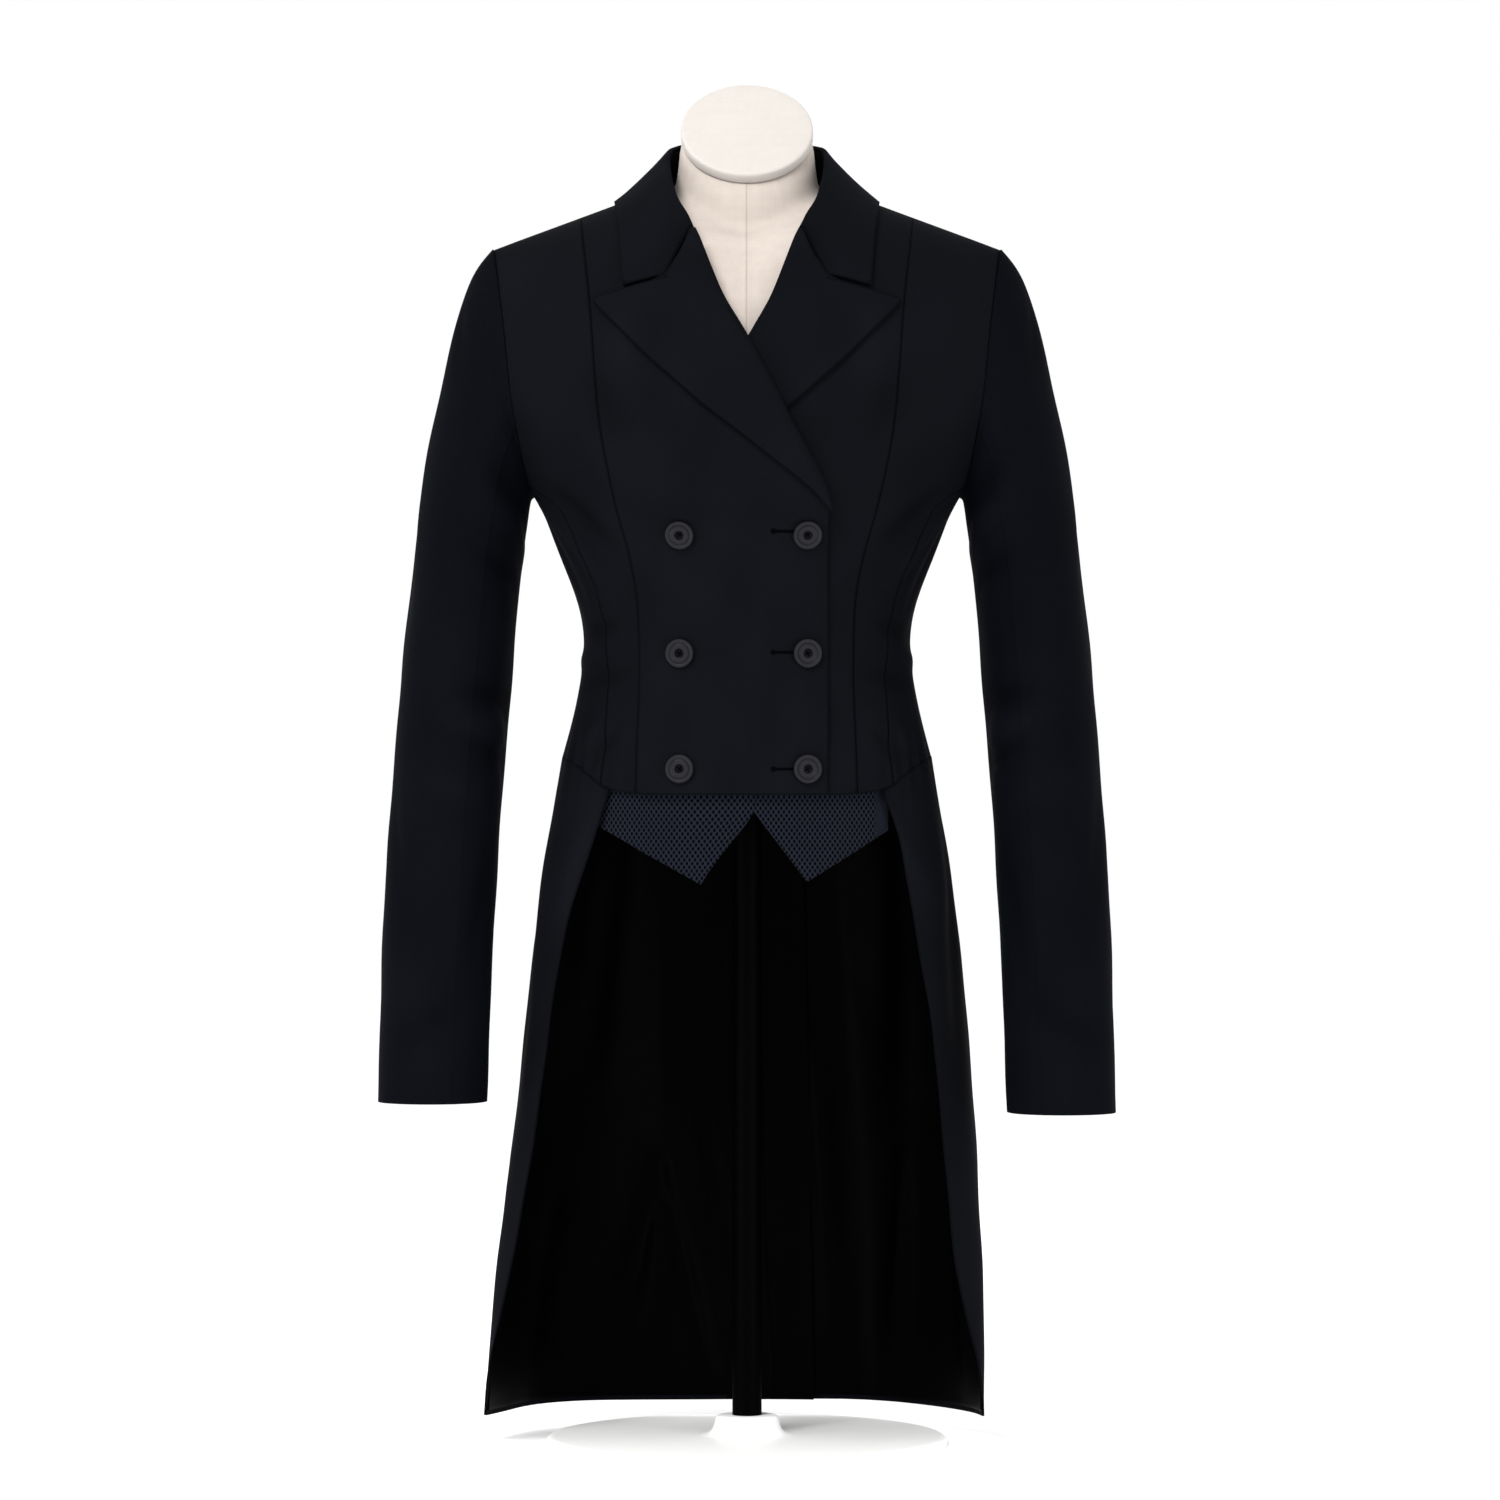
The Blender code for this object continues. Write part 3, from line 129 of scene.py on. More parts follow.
class Finish:
    """A material with a Principled shader."""

    def __init__(self, name):
        self.material = bpy.data.materials.new(name)
        self.material.use_nodes = True
        self.tree = self.material.node_tree
        self.shader = self.tree.nodes["Principled BSDF"]

    def node(self, kind, settings=(), inputs=(), out=0):
        """Makes a node of any kind: its settings first, then its inputs, each a signal or a value."""
        made = self.tree.nodes.new(kind)
        for key, value in dict(settings).items():
            setattr(made, key, value)
        for key, value in dict(inputs).items():
            self.put(made.inputs[key], value)
        return Signal(self, made.outputs[out])

    def put(self, socket, value):
        """Links a signal to a socket, or sets the socket's value."""
        if isinstance(value, Signal):
            self.tree.links.new(value.socket, socket)
        else:
            socket.default_value = value

    def set(self, **values):
        """Sets or links the shader's sockets; an underscore stands for a space."""
        for key, value in values.items():
            self.put(self.shader.inputs[key.replace("_", " ")], value)

    def parts(self, vector):
        """The three parts of a vector, each as a signal."""
        split = self.tree.nodes.new("ShaderNodeSeparateXYZ")
        self.put(split.inputs[0], vector)
        return [Signal(self, socket) for socket in split.outputs]

    def layout(self):
        """The two coordinates of a piece's own layout, in metres: across and up."""
        across, up, _ = self.parts(self.node("ShaderNodeUVMap", {"uv_map": "layout"}))
        return across, up

    def attribute(self, name):
        """A value that the mesh carries at each of its points."""
        return self.node("ShaderNodeAttribute", {"attribute_name": name}, out=2)

    def spots(self, scale, detail=2.0, stretch=(1, 1, 1)):
        """Soft random spots on the object's own coordinates, from 0 to 1."""
        place = self.node("ShaderNodeTexCoord", out=3)
        turned = self.node("ShaderNodeMapping", inputs={"Vector": place, "Scale": stretch})
        return self.node("ShaderNodeTexNoise", inputs={"Vector": turned, "Scale": scale, "Detail": detail})

    def mix(self, share, low, high):
        """A colour between two colours."""
        return self.node("ShaderNodeMix", {"data_type": "RGBA"}, {0: share, 6: low, 7: high}, out=2)

    def relief(self, height, strength=1.0):
        """Bump from a height in metres."""
        bump = {"Height": height, "Strength": strength, "Distance": 1.0}
        self.set(Normal=self.node("ShaderNodeBump", inputs=bump))


print("signals and finishes are ready")

# %% [markdown]
# The shell of the coat is a dark navy wool twill, so dark that it reads as black beside the white arena. Its
# diagonal ribs are about a millimetre apart. The nap catches light at grazing angles, which the sheen gives, and
# the cloth dips at every seam, where its edge is turned in. The dip reads an attribute, edge, that each piece
# carries: the distance from its own edge in metres. The colour is painted darker there too, as painted shade in
# the seam. A second one, fold, says how far a crease lifts the cloth. The colour is painted darker in troughs and
# paler on ridges, as painted shade and light of the creases.

# %% Coat cloth
TWILL_RIB = 0.0011
YARN = 0.0007
SEAM_DIP_WIDTH = 0.0019
SEAM_DIP = 0.0006
# How much of the colour is taken away at the seams: painted shade
SEAM_SHADE = 0.50
# Crease lift at which the painted crease shade and light are full
FOLD_FULL = 0.0045
RIB_HEIGHT = 0.000022
YARN_HEIGHT = 0.000008
NAP_HEIGHT = 0.000030
CUFF_STITCH_HEIGHT = 0.2870
CUFF_STITCH_LENGTH = 0.0032
CUFF_STITCH_DEPTH = 0.00025
CUFF_STITCH_SHADE = 0.25


def coat_finish(name, dark, light, seam_dip=SEAM_DIP, seam_shade=SEAM_SHADE, cuff_stitch=False):
    """Napped navy twill with dips at its seams; painted shade in seams and crease troughs, painted light on ridges.
    """
    cloth = Finish(name)
    across, up = cloth.layout()
    rib = (across + up).wave(TWILL_RIB) * 0.5 + 0.5
    yarn = (across - up).wave(YARN) * 0.5 + 0.5
    weave = rib * 0.7 + yarn * 0.3
    cloud = cloth.spots(7.0, 3.0)
    nap = cloth.spots(420.0, 2.0)
    dip = cloth.attribute("edge").step(0.0, SEAM_DIP_WIDTH)
    ridge = cloth.attribute("fold").step(-FOLD_FULL, FOLD_FULL)
    shade = weave * 0.40 + nap * 0.20 + cloud * 0.40
    # Painted shade in the seams and crease troughs, painted light on crease ridges
    shade = shade * (dip * seam_shade + (1 - seam_shade)) * (ridge + 0.5)
    height = rib * RIB_HEIGHT + yarn * YARN_HEIGHT + nap * NAP_HEIGHT + dip * seam_dip
    if cuff_stitch:
        line = 1.0 - (up - CUFF_STITCH_HEIGHT).math("ABSOLUTE").step(0.0003, 0.0009)
        dash = across.wave(CUFF_STITCH_LENGTH).step(-0.3, 0.3)
        height = height - line * dash * CUFF_STITCH_DEPTH
        shade = shade + line * dash * CUFF_STITCH_SHADE
    cloth.set(
        Base_Color=cloth.mix(shade, dark, light),
        Roughness=0.74 + weave * 0.14,
        Sheen_Weight=0.003,
        Sheen_Roughness=0.40,
        Sheen_Tint=(0.42, 0.52, 0.86, 1),
        Specular_IOR_Level=0.012,
    )
    cloth.relief(height)
    return cloth.material


COAT = coat_finish("navy_twill", (0.0007, 0.0008, 0.0012, 1), (0.0045, 0.0049, 0.0066, 1))
# The sleeves are the same twill as the body, in a darker copy with less seam shade: painted shade
SHADED_SLEEVE_TWILL = coat_finish(
    "navy_twill_sleeve_shaded", (0.0004, 0.0005, 0.0009, 1), (0.0028, 0.0033, 0.0050, 1), seam_dip=SEAM_DIP / 10,
    seam_shade=0.08, cuff_stitch=True,
)
print("coat cloth: ribs of", TWILL_RIB * 1000, "mm")

# %% [markdown]
# The tails are lined with black satin. Satin is smooth, with long floats that all run one way, so it is glossier
# than the wool and its streaks follow the length of the tail. Its colour is painted darker in the troughs of its
# folds and paler on their ridges, as painted shade and light of the folds.

# %% Lining satin
FLOAT_WIDTH = 0.0006
FLOAT_HEIGHT = 0.000006
STREAK_HEIGHT = 0.00008
LINING_DIP = 0.0004


def satin_finish(name):
    """Black satin, with fine floats along its length."""
    satin = Finish(name)
    across, _ = satin.layout()
    floats = across.wave(FLOAT_WIDTH) * 0.5 + 0.5
    streak = satin.spots(60.0, 3.0, (1.0, 1.0, 0.06))
    cloud = satin.spots(10.0, 2.0)
    dip = satin.attribute("edge").step(0.0, SEAM_DIP_WIDTH)
    ridge = satin.attribute("fold").step(-FOLD_FULL * 2, FOLD_FULL * 2)
    # Painted shade in fold troughs and painted light on fold ridges
    shade = (streak * 0.6 + cloud * 0.4) * (ridge + 0.5)
    satin.set(
        Base_Color=satin.mix(shade, (0.0001, 0.0001, 0.0001, 1), (0.0008, 0.0008, 0.0009, 1)),
        Roughness=0.36 + streak * 0.16,
        Specular_IOR_Level=0.008,
    )
    satin.relief(floats * FLOAT_HEIGHT + streak * STREAK_HEIGHT + dip * LINING_DIP)
    return satin.material


LINING = satin_finish("black_satin")
print("lining: floats of", FLOAT_WIDTH * 1000, "mm")

# %% [markdown]
# The two points below the front hem stand for the waistcoat that was once worn under the coat. Their cloth is a
# small diamond check: pale threads cross on the slant over a navy ground. Two slanting waves make the lattice,
# and a plain strip of the same colours finishes the outer edge of the wearer's left point.

# %% Check cloth
DIAMOND = 0.0038
DIAMOND_SLANT = 0.70
CHECK_YARN = 0.0005
CHECK_YARN_HEIGHT = 0.000020
DIAMOND_HEIGHT = 0.00007
VEST_EDGE_ROLL = 0.0020
VEST_EDGE_DIP = 0.0004
PLAIN_STRIP_FROM = 0.0955
PLAIN_STRIP_FADE = 0.0006
PLAIN_STRIP_SHADE = 0.62
NO_STRIP = 1.0


def check_finish(name, strip_from):
    """Navy cloth with a fine pale diamond check, plain from a place outwards."""
    check = Finish(name)
    across, up = check.layout()
    rise = up * DIAMOND_SLANT
    one = (across + rise).wave(DIAMOND) * 0.5 + 0.5
    other = (across - rise).wave(DIAMOND) * 0.5 + 0.5
    lattice = 1.0 - (one * other).step(0.03, 0.32)
    thread = (across.wave(CHECK_YARN) + up.wave(CHECK_YARN)) * 0.25 + 0.5
    plain = across.step(strip_from, strip_from + PLAIN_STRIP_FADE)
    cloud = check.spots(30.0, 2.0)
    pale = lattice * (1.0 - plain) + plain * PLAIN_STRIP_SHADE
    rolled = check.attribute("edge").step(0.0, VEST_EDGE_ROLL)
    shade = pale * (thread * 0.35 + 0.70) * (cloud * 0.3 + 0.85)
    check.set(
        Base_Color=check.mix(shade, (0.0003, 0.0005, 0.0015, 1), (0.0086, 0.0102, 0.0154, 1)),
        Roughness=0.70 + thread * 0.12,
        Sheen_Weight=0.03,
        Sheen_Roughness=0.45,
        Specular_IOR_Level=0.012,
    )
    check.relief(thread * CHECK_YARN_HEIGHT + lattice * DIAMOND_HEIGHT + rolled * VEST_EDGE_DIP)
    return check.material


VEST = {
    RIGHT: check_finish("diamond_check", NO_STRIP),
    LEFT: check_finish("diamond_check_strip", PLAIN_STRIP_FROM),
}
print("vest cloth: diamonds of", DIAMOND * 1000, "mm")

# %% [markdown]
# The dress form is covered in unbleached linen. Its yarns are uneven, thick and thin by turns, so the plain
# weave is broken up by slubs that run along the threads. The cover is sewn in halves, which leaves a seam down
# the centre of the front and of the back.

# %% Linen
LINEN_YARN = 0.0012
LINEN_YARN_HEIGHT = 0.00005
SLUB_SIZE = 160.0
SLUB_HEIGHT = 0.00010
LINEN_SEAM = 0.0011
LINEN_SEAM_DEPTH = 0.0005
LINEN_SEAM_RIDGE = 0.00025


def linen_finish(name, dark, light, seam):
    """Plain woven linen with slubs and, if asked, a seam down the middle."""
    linen = Finish(name)
    x, _, z = linen.parts(linen.node("ShaderNodeTexCoord", out=3))
    warp = x.wave(LINEN_YARN) * 0.5 + 0.5
    weft = z.wave(LINEN_YARN) * 0.5 + 0.5
    slub_along = linen.spots(SLUB_SIZE, 3.0, (1.0, 1.0, 0.12))
    slub_across = linen.spots(SLUB_SIZE, 3.0, (0.12, 0.12, 1.0))
    cloud = linen.spots(14.0, 3.0)
    shade = warp * weft * 0.25 + slub_along * 0.30 + slub_across * 0.25 + cloud * 0.30
    height = warp * weft * LINEN_YARN_HEIGHT + (slub_along + slub_across) * SLUB_HEIGHT
    if seam:
        beside = x.math("ABSOLUTE")
        valley = beside.step(0.0, LINEN_SEAM)
        ridge = 1.0 - beside.step(LINEN_SEAM, LINEN_SEAM * 4)
        height = height + valley * LINEN_SEAM_DEPTH + ridge * LINEN_SEAM_RIDGE
        # Painted shade: the colour is darker in the seam's valley
        shade = shade * (valley * 0.30 + 0.70)
    linen.set(
        Base_Color=linen.mix(shade, dark, light),
        Roughness=0.86 + warp * 0.08,
        Sheen_Weight=0.08,
        Sheen_Roughness=0.5,
        Specular_IOR_Level=0.12,
    )
    linen.relief(height)
    return linen.material


LINEN = linen_finish("natural_linen", (0.313, 0.268, 0.236, 1), (0.494, 0.444, 0.405, 1), seam=True)
CAP_LINEN = linen_finish("cap_linen", (0.360, 0.336, 0.314, 1), (0.455, 0.426, 0.400, 1), seam=False)
print("linen: yarns of", LINEN_YARN * 1000, "mm")

# %% [markdown]
# The hard finishes are simple: grey plastic for the buttons, dark waxed thread, white powder coat on the base and
# black enamel on the pole. Each still has the small unevenness of the real surface. The buttons get painted shade
# in their groove and dish and a painted highlight on their raised rims, so they read one more attribute, rise: the
# height over a button's own back.

# %% Plastic, thread and paint
# Heights over a button's back where its painted shade turns into painted highlight
RISE_SHADE_LOW = 0.0021
RISE_SHADE_HIGH = 0.0029


def plain_finish(name, dark, light, grain, roughness, relief, shade_by_rise=False, **constants):
    """A hard finish with fine grain in its colour, gloss and surface; if asked, painted shade low and painted
    highlight high.
    """
    made = Finish(name)
    spots = made.spots(grain, 3.0)
    broad = made.spots(grain / 30, 2.0)
    shade = spots * 0.6 + broad * 0.4
    if shade_by_rise:
        # Painted shade in a button's groove and dish, painted highlight on its raised rims
        shade = shade * 0.3 + made.attribute("rise").step(RISE_SHADE_LOW, RISE_SHADE_HIGH) * 0.7
    made.set(
        Base_Color=made.mix(shade, dark, light),
        Roughness=roughness + spots * 0.14,
        **constants,
    )
    made.relief(spots * relief)
    return made.material


PLASTIC = plain_finish(
    "button_grey", (0.0016, 0.0016, 0.0024, 1), (0.0130, 0.0131, 0.0152, 1), 900.0, 0.30, 0.00002,
    shade_by_rise=True, Specular_IOR_Level=0.036,
)
THREAD = plain_finish(
    "navy_thread", (0.0002, 0.0002, 0.0004, 1), (0.0010, 0.0011, 0.0018, 1), 2500.0, 0.62, 0.00005,
    Specular_IOR_Level=0.008,
)
BASE_PAINT = plain_finish("white_powder_coat", (0.74, 0.74, 0.73, 1), (0.83, 0.83, 0.82, 1), 700.0, 0.34, 0.00002)
POLE_PAINT = plain_finish(
    "black_enamel", (0.0001, 0.0001, 0.0001, 1), (0.0005, 0.0005, 0.0006, 1), 600.0, 0.42, 0.00001,
    Specular_IOR_Level=0.008,
)
print("hard finishes:", [m.name for m in (PLASTIC, THREAD, BASE_PAINT, POLE_PAINT)])

# %% [markdown]
# Cloth never lies as evenly as a drawing. To place creases one by one, each piece gets a layout: an angle round
# the body or the sleeve, and a height. Tables then say where each crease lies in that layout. Both faces of a
# wall read the same layout, so the wall keeps its thickness, and neighbouring panels read the same tables, so
# their seams stay closed.

# %% Layouts
BODY_RADIUS = 0.135
SLEEVE_RADIUS = 0.058
# The body is wider than deep, and above this height the way out of it turns upwards
BODY_FLATNESS = 1.6
SHOULDERS_FROM = 0.72
SHOULDERS_TURN = 2.2
# Middle line of a sleeve, from the cuff up: height, distance from the centre, forward swing
SLEEVE_MIDDLE = [
    (0.256, 0.2335, -0.048),
    (0.360, 0.2304, -0.029),
    (0.455, 0.2268, -0.013),
    (0.525, 0.2218, -0.004),
    (0.590, 0.2163, 0.001),
    (0.6475, 0.2110, 0.003),
    (0.7095, 0.2037, 0.002),
    (0.757, 0.1944, 0.001),
    (0.794, 0.1830, 0.000),
]


def body_layout(side):
    """Angle from the centre front round to the back, height, and the way out of the body."""
    def read(points):
        x, y, z = points.T
        angle = np.degrees(np.arctan2(side * x, -y))
        angle = np.where(angle < -90, angle + 360, angle)
        rise = np.maximum(z - SHOULDERS_FROM, 0) * SHOULDERS_TURN
        out = np.stack([x, y * BODY_FLATNESS, rise], axis=1)
        out /= np.linalg.norm(out, axis=1, keepdims=True)
        return angle, z, out
    return read


def sleeve_layout(side, inner):
    """Angle round the arm from its outer side to the front and on, height, and the way out of the sleeve."""
    heights, distances, swings = np.array(SLEEVE_MIDDLE).T

    def read(points):
        x, y, z = points.T
        across = side * x - np.interp(z, heights, distances)
        ahead = np.interp(z, heights, swings) - y
        angle = np.degrees(np.arctan2(ahead, across))
        if inner:
            angle = np.mod(angle, 360)
        out = np.stack([side * across, -ahead, np.zeros_like(z)], axis=1)
        out /= np.linalg.norm(out, axis=1, keepdims=True) + 1e-9
        return angle, z, out
    return read


def ease(t):
    """A soft step from 0 to 1."""
    t = np.clip(t, 0, 1)
    return t * t * (3 - 2 * t)


print("sleeve's middle line:", len(SLEEVE_MIDDLE), "places")

# %% [markdown]
# A soft crease is a shallow trough or ridge along a short line. Sculpting or a cloth simulation would give
# creases too, but not the same ones each time and not in chosen places. So each crease is one row of a table:
# where it starts and ends in the layout, how wide it is, and how deep in metres, positive outwards. One factor
# deepens them all. Under them lie broad, shallow waves, which no pressed cloth is free of.

# %% Creases and waves
# A crease starts at this share of its width and widens by the second along its way
CREASE_START_WIDTH = 0.75
CREASE_WIDENING = 0.5
# Its depth follows half a sine wave, from the first share of it over the second
CREASE_START = 0.08
CREASE_RUN = 0.84
CREASE_DEPTH = 1.6
# Waves: depth, length across, length up, shift
WAVES = [
    (0.00050, 0.085, 0.140, 0.4),
    (0.00045, -0.110, 0.075, 1.9),
    (0.00030, 0.047, 0.300, 3.0),
]
WAVE_DEPTH = 0.5


def crease(angle, height, table, radius):
    """Depth of all the creases of a table at each place of a layout."""
    total = np.zeros_like(angle)
    for start_angle, start_height, end_angle, end_height, width, depth in table:
        run = np.array((math.radians(end_angle - start_angle) * radius, end_height - start_height))
        across = np.radians(np.mod(angle - start_angle + 180, 360) - 180) * radius
        up = height - start_height
        share = np.clip((across * run[0] + up * run[1]) / (run @ run), 0, 1)
        away = np.hypot(across - share * run[0], up - share * run[1])
        spread = width * (CREASE_START_WIDTH + CREASE_WIDENING * share)
        total += depth * np.sin(np.pi * (CREASE_START + CREASE_RUN * share)) * np.exp(-((away / spread) ** 2))
    return total * CREASE_DEPTH


def unevenness(angle, height, radius):
    """Broad, shallow waves that no pressed cloth is free of."""
    u = np.radians(angle) * radius * math.tau
    v = height * math.tau
    return sum(np.sin(u / across + v / up + shift) * depth for depth, across, up, shift in WAVES) * WAVE_DEPTH


print("broad waves in every cloth:", len(WAVES))

# %% [markdown]
# A panel starts as a copy of its CAD solid, because the cut is already right there. Its loose triangles are
# merged and paired into quads, and a subdivision surface rounds them. The wall's own edges are marked as
# creased, so that the outline stays where it was cut.

# %% From a CAD solid to smooth quads
MERGE = 0.00001
PAIR_ANGLE = math.radians(40)
PAIR_SHAPE = math.radians(170)
RIM_ANGLE = math.radians(75)
CORNER_ANGLE = math.radians(145)


def merged_copy(node):
    """A bmesh of a CAD node, with its triangles merged and paired into quads."""
    bm = bmesh.new()
    bm.from_mesh(frame["nodes"][node].data)
    bmesh.ops.remove_doubles(bm, verts=bm.verts[:], dist=MERGE)
    bmesh.ops.join_triangles(
        bm, faces=bm.faces[:], angle_face_threshold=PAIR_ANGLE, angle_shape_threshold=PAIR_SHAPE,
    )
    return bm


def rim_edges(bm, limit):
    """The edges where two faces meet at more than an angle."""
    return [edge for edge in bm.edges if len(edge.link_faces) == 2 and edge.calc_face_angle() > limit]


def mark_creases(bm):
    """Keeps a wall's rim sharp while it is subdivided, and its corners where they are."""
    edge_mark = bm.edges.layers.float.new("crease_edge")
    corner_mark = bm.verts.layers.float.new("crease_vert")
    for edge in rim_edges(bm, RIM_ANGLE):
        edge[edge_mark] = 1.0
    for vert in bm.verts:
        ways = [(e.other_vert(vert).co - vert.co).normalized() for e in vert.link_edges if e[edge_mark] > 0]
        if len(ways) > 2 or (len(ways) == 2 and ways[0].angle(ways[1]) < CORNER_ANGLE):
            vert[corner_mark] = 1.0


def evaluated(thing):
    """The mesh of an object with its modifiers applied. The object itself goes."""
    graph = bpy.context.evaluated_depsgraph_get()
    mesh = bpy.data.meshes.new_from_object(thing.evaluated_get(graph))
    bpy.data.objects.remove(thing)
    return mesh


def into_object(name, bm):
    """A scene object from a bmesh, without the CAD's own shading normals."""
    mesh = bpy.data.meshes.new(name)
    bm.to_mesh(mesh)
    bm.free()
    if "custom_normal" in mesh.attributes:
        mesh.attributes.remove(mesh.attributes["custom_normal"])
    mesh.materials.clear()
    thing = bpy.data.objects.new(name, mesh)
    bpy.context.scene.collection.objects.link(thing)
    return thing


def subdivided(name, bm, levels):
    """A bmesh turned into a finer one by a subdivision surface."""
    thing = into_object(name, bm)
    finer = thing.modifiers.new("finer", "SUBSURF")
    finer.levels = finer.render_levels = levels
    mesh = evaluated(thing)
    made = bmesh.new()
    made.from_mesh(mesh)
    bpy.data.meshes.remove(mesh)
    return made


print("a wall's rim is where faces meet at over", round(math.degrees(RIM_ANGLE)), "degrees")

# %% [markdown]
# A small bevel then turns the sharp rim into the soft folded edge of real cloth. The panel also gets what its
# weave reads: a UV map of its layout in metres, the distance from its own edge, and how far its creases lift it.
# Last, the creases move the points.

# %% A panel of cloth
FINE_RIM_ANGLE = math.radians(60)
EDGE_ROUND = 0.00045
SLEEVE_EDGE_ROUND = 0.00025


def points_of(mesh):
    """A mesh's points as an array."""
    flat = np.empty(len(mesh.vertices) * 3)
    mesh.vertices.foreach_get("co", flat)
    return flat.reshape(-1, 3)


def edge_distances(points, rim):
    """Distance of each point from the nearest place of the rim."""
    tree = kdtree.KDTree(len(rim))
    for k, place in enumerate(rim):
        tree.insert(place, k)
    tree.balance()
    return np.array([tree.find(point)[2] for point in points])


def lay_out(mesh, across, up):
    """Writes a layout as the UV map that the weave follows, in metres."""
    corners = np.empty(len(mesh.loops), dtype=np.int32)
    mesh.loops.foreach_get("vertex_index", corners)
    while mesh.uv_layers:
        mesh.uv_layers.remove(mesh.uv_layers[0])
    uv = np.stack([across, up], axis=1)[corners]
    mesh.uv_layers.new(name="layout").data.foreach_set("uv", uv.ravel())


def cloth_piece(node, layout, radius, form, material, levels=3, weave=None, edge_round=EDGE_ROUND):
    """A panel of cloth on the form of its CAD solid."""
    bm = merged_copy(node)
    mark_creases(bm)
    bm = subdivided(node + "_fine", bm, levels)
    edges = rim_edges(bm, FINE_RIM_ANGLE)
    rim = [vert.co.copy() for vert in {vert for edge in edges for vert in edge.verts}]
    bmesh.ops.bevel(
        bm, geom=edges, offset=edge_round, offset_type="OFFSET", affect="EDGES", segments=2, profile=0.5,
        material=-1, clamp_overlap=True,
    )
    thing = into_object("cloth_" + node, bm)
    mesh = thing.data
    points = points_of(mesh)
    angle, height, out = layout(points)
    lay_out(mesh, *(weave(points) if weave else (np.radians(angle) * radius, height)))
    # edge also sets the painted shade at the seams
    mark = mesh.attributes.new("edge", "FLOAT", "POINT")
    mark.data.foreach_set("value", edge_distances(points, rim))
    moved = form(points, layout)
    mesh.vertices.foreach_set("co", moved.ravel())
    # fold also sets the painted shade and light of the creases
    fold = mesh.attributes.new("fold", "FLOAT", "POINT")
    fold.data.foreach_set("value", ((moved - points) * out).sum(axis=1))
    mesh.materials.append(material)
    mesh.shade_smooth()
    mesh.update()
    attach(thing, "root")
    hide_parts(node)
    return thing


print("panels are rounded by", EDGE_ROUND * 1000, "mm at their edges")

# %% [markdown]
# Each panel is read back after it is made: the areas of its faces, where the corners of each face start, and its
# layout. No sheet or size of a flat piece is declared from them. A pattern could be unrolled from the panel, but
# its curves never lie quite flat, and both faces of the shell together have twice the area of the cloth.


def cut_sheet(thing):
    """Reads a panel's face areas, the first corner of each face and its layout; nothing is kept or declared."""
    mesh = thing.data
    count = len(mesh.polygons)
    areas = np.empty(count)
    mesh.polygons.foreach_get("area", areas)
    starts = np.empty(count, dtype=np.int32)
    mesh.polygons.foreach_get("loop_start", starts)
    uv = np.empty(len(mesh.loops) * 2)
    mesh.uv_layers["layout"].data.foreach_get("uv", uv)


# %% [markdown]
# A fitted coat has few creases: short pulls that fan from the armpits, shallow rolls across the hollow of the
# waist at the side and the back, and small ones above the waist seam. Along the waist seam the cloth is gathered
# a little. Beside the armhole the body lies still, because the sleeve is sewn to it there.

# %% How the body creases
# Start angle, start height, end angle, end height, width, depth
BODY_CREASES = [
    (68, 0.716, 50, 0.668, 0.0080, -0.0017),
    (76, 0.700, 58, 0.640, 0.0070, 0.0012),
    (84, 0.690, 72, 0.618, 0.0085, -0.0013),
    (47, 0.806, 40, 0.748, 0.0110, -0.0012),
    (41, 0.842, 37, 0.792, 0.0100, 0.0010),
    (30, 0.792, 24, 0.742, 0.0140, -0.0008),
    (54, 0.614, 86, 0.603, 0.0075, -0.0015),
    (62, 0.594, 97, 0.586, 0.0065, 0.0012),
    (50, 0.578, 78, 0.566, 0.0070, -0.0011),
    (92, 0.574, 128, 0.566, 0.0075, -0.0012),
    (112, 0.611, 158, 0.604, 0.0080, -0.0016),
    (120, 0.590, 172, 0.586, 0.0070, 0.0012),
    (98, 0.700, 112, 0.640, 0.0090, -0.0016),
    (108, 0.716, 124, 0.662, 0.0080, 0.0013),
    (128, 0.800, 146, 0.748, 0.0130, -0.0014),
    (136, 0.770, 160, 0.716, 0.0120, 0.0010),
    (52, 0.536, 62, 0.512, 0.0055, -0.0011),
    (60, 0.542, 70, 0.516, 0.0060, 0.0010),
    (146, 0.556, 158, 0.530, 0.0070, -0.0010),
]
# The waist seam: angles, and its height at each of them
WAIST_ANGLES = (-60, 25, 40, 47, 58, 70, 90, 180)
WAIST_HEIGHTS = (0.4872, 0.4872, 0.4900, 0.4945, 0.5055, 0.5120, 0.5160, 0.5260)
# Gathers along it: their length wanders and their depth changes at these rates
PUCKER_LENGTH = 0.0165
PUCKER_DEPTH = 0.0010
PUCKER_REACH = 0.014
PUCKER_WANDER = 1.3
PUCKER_WANDER_RATE = 80
PUCKER_UNEVEN_RATE = 41
PUCKER_FROM = 40
PUCKER_RUN = 10
# The armhole: its lowest place and slant, and how near to it the body lies still
ARMHOLE_LOW = (0.1595, 0.710)
ARMHOLE_SLANT = 0.165
ARMHOLE_BODY_STILL = 0.020
ARMPIT_Z = 0.69


def root_distance(points):
    """Distance outwards from the slanting line of the armhole, as seen from the front."""
    line = ARMHOLE_LOW[0] + (points[:, 2] - ARMHOLE_LOW[1]) * ARMHOLE_SLANT
    return np.abs(points[:, 0]) - line


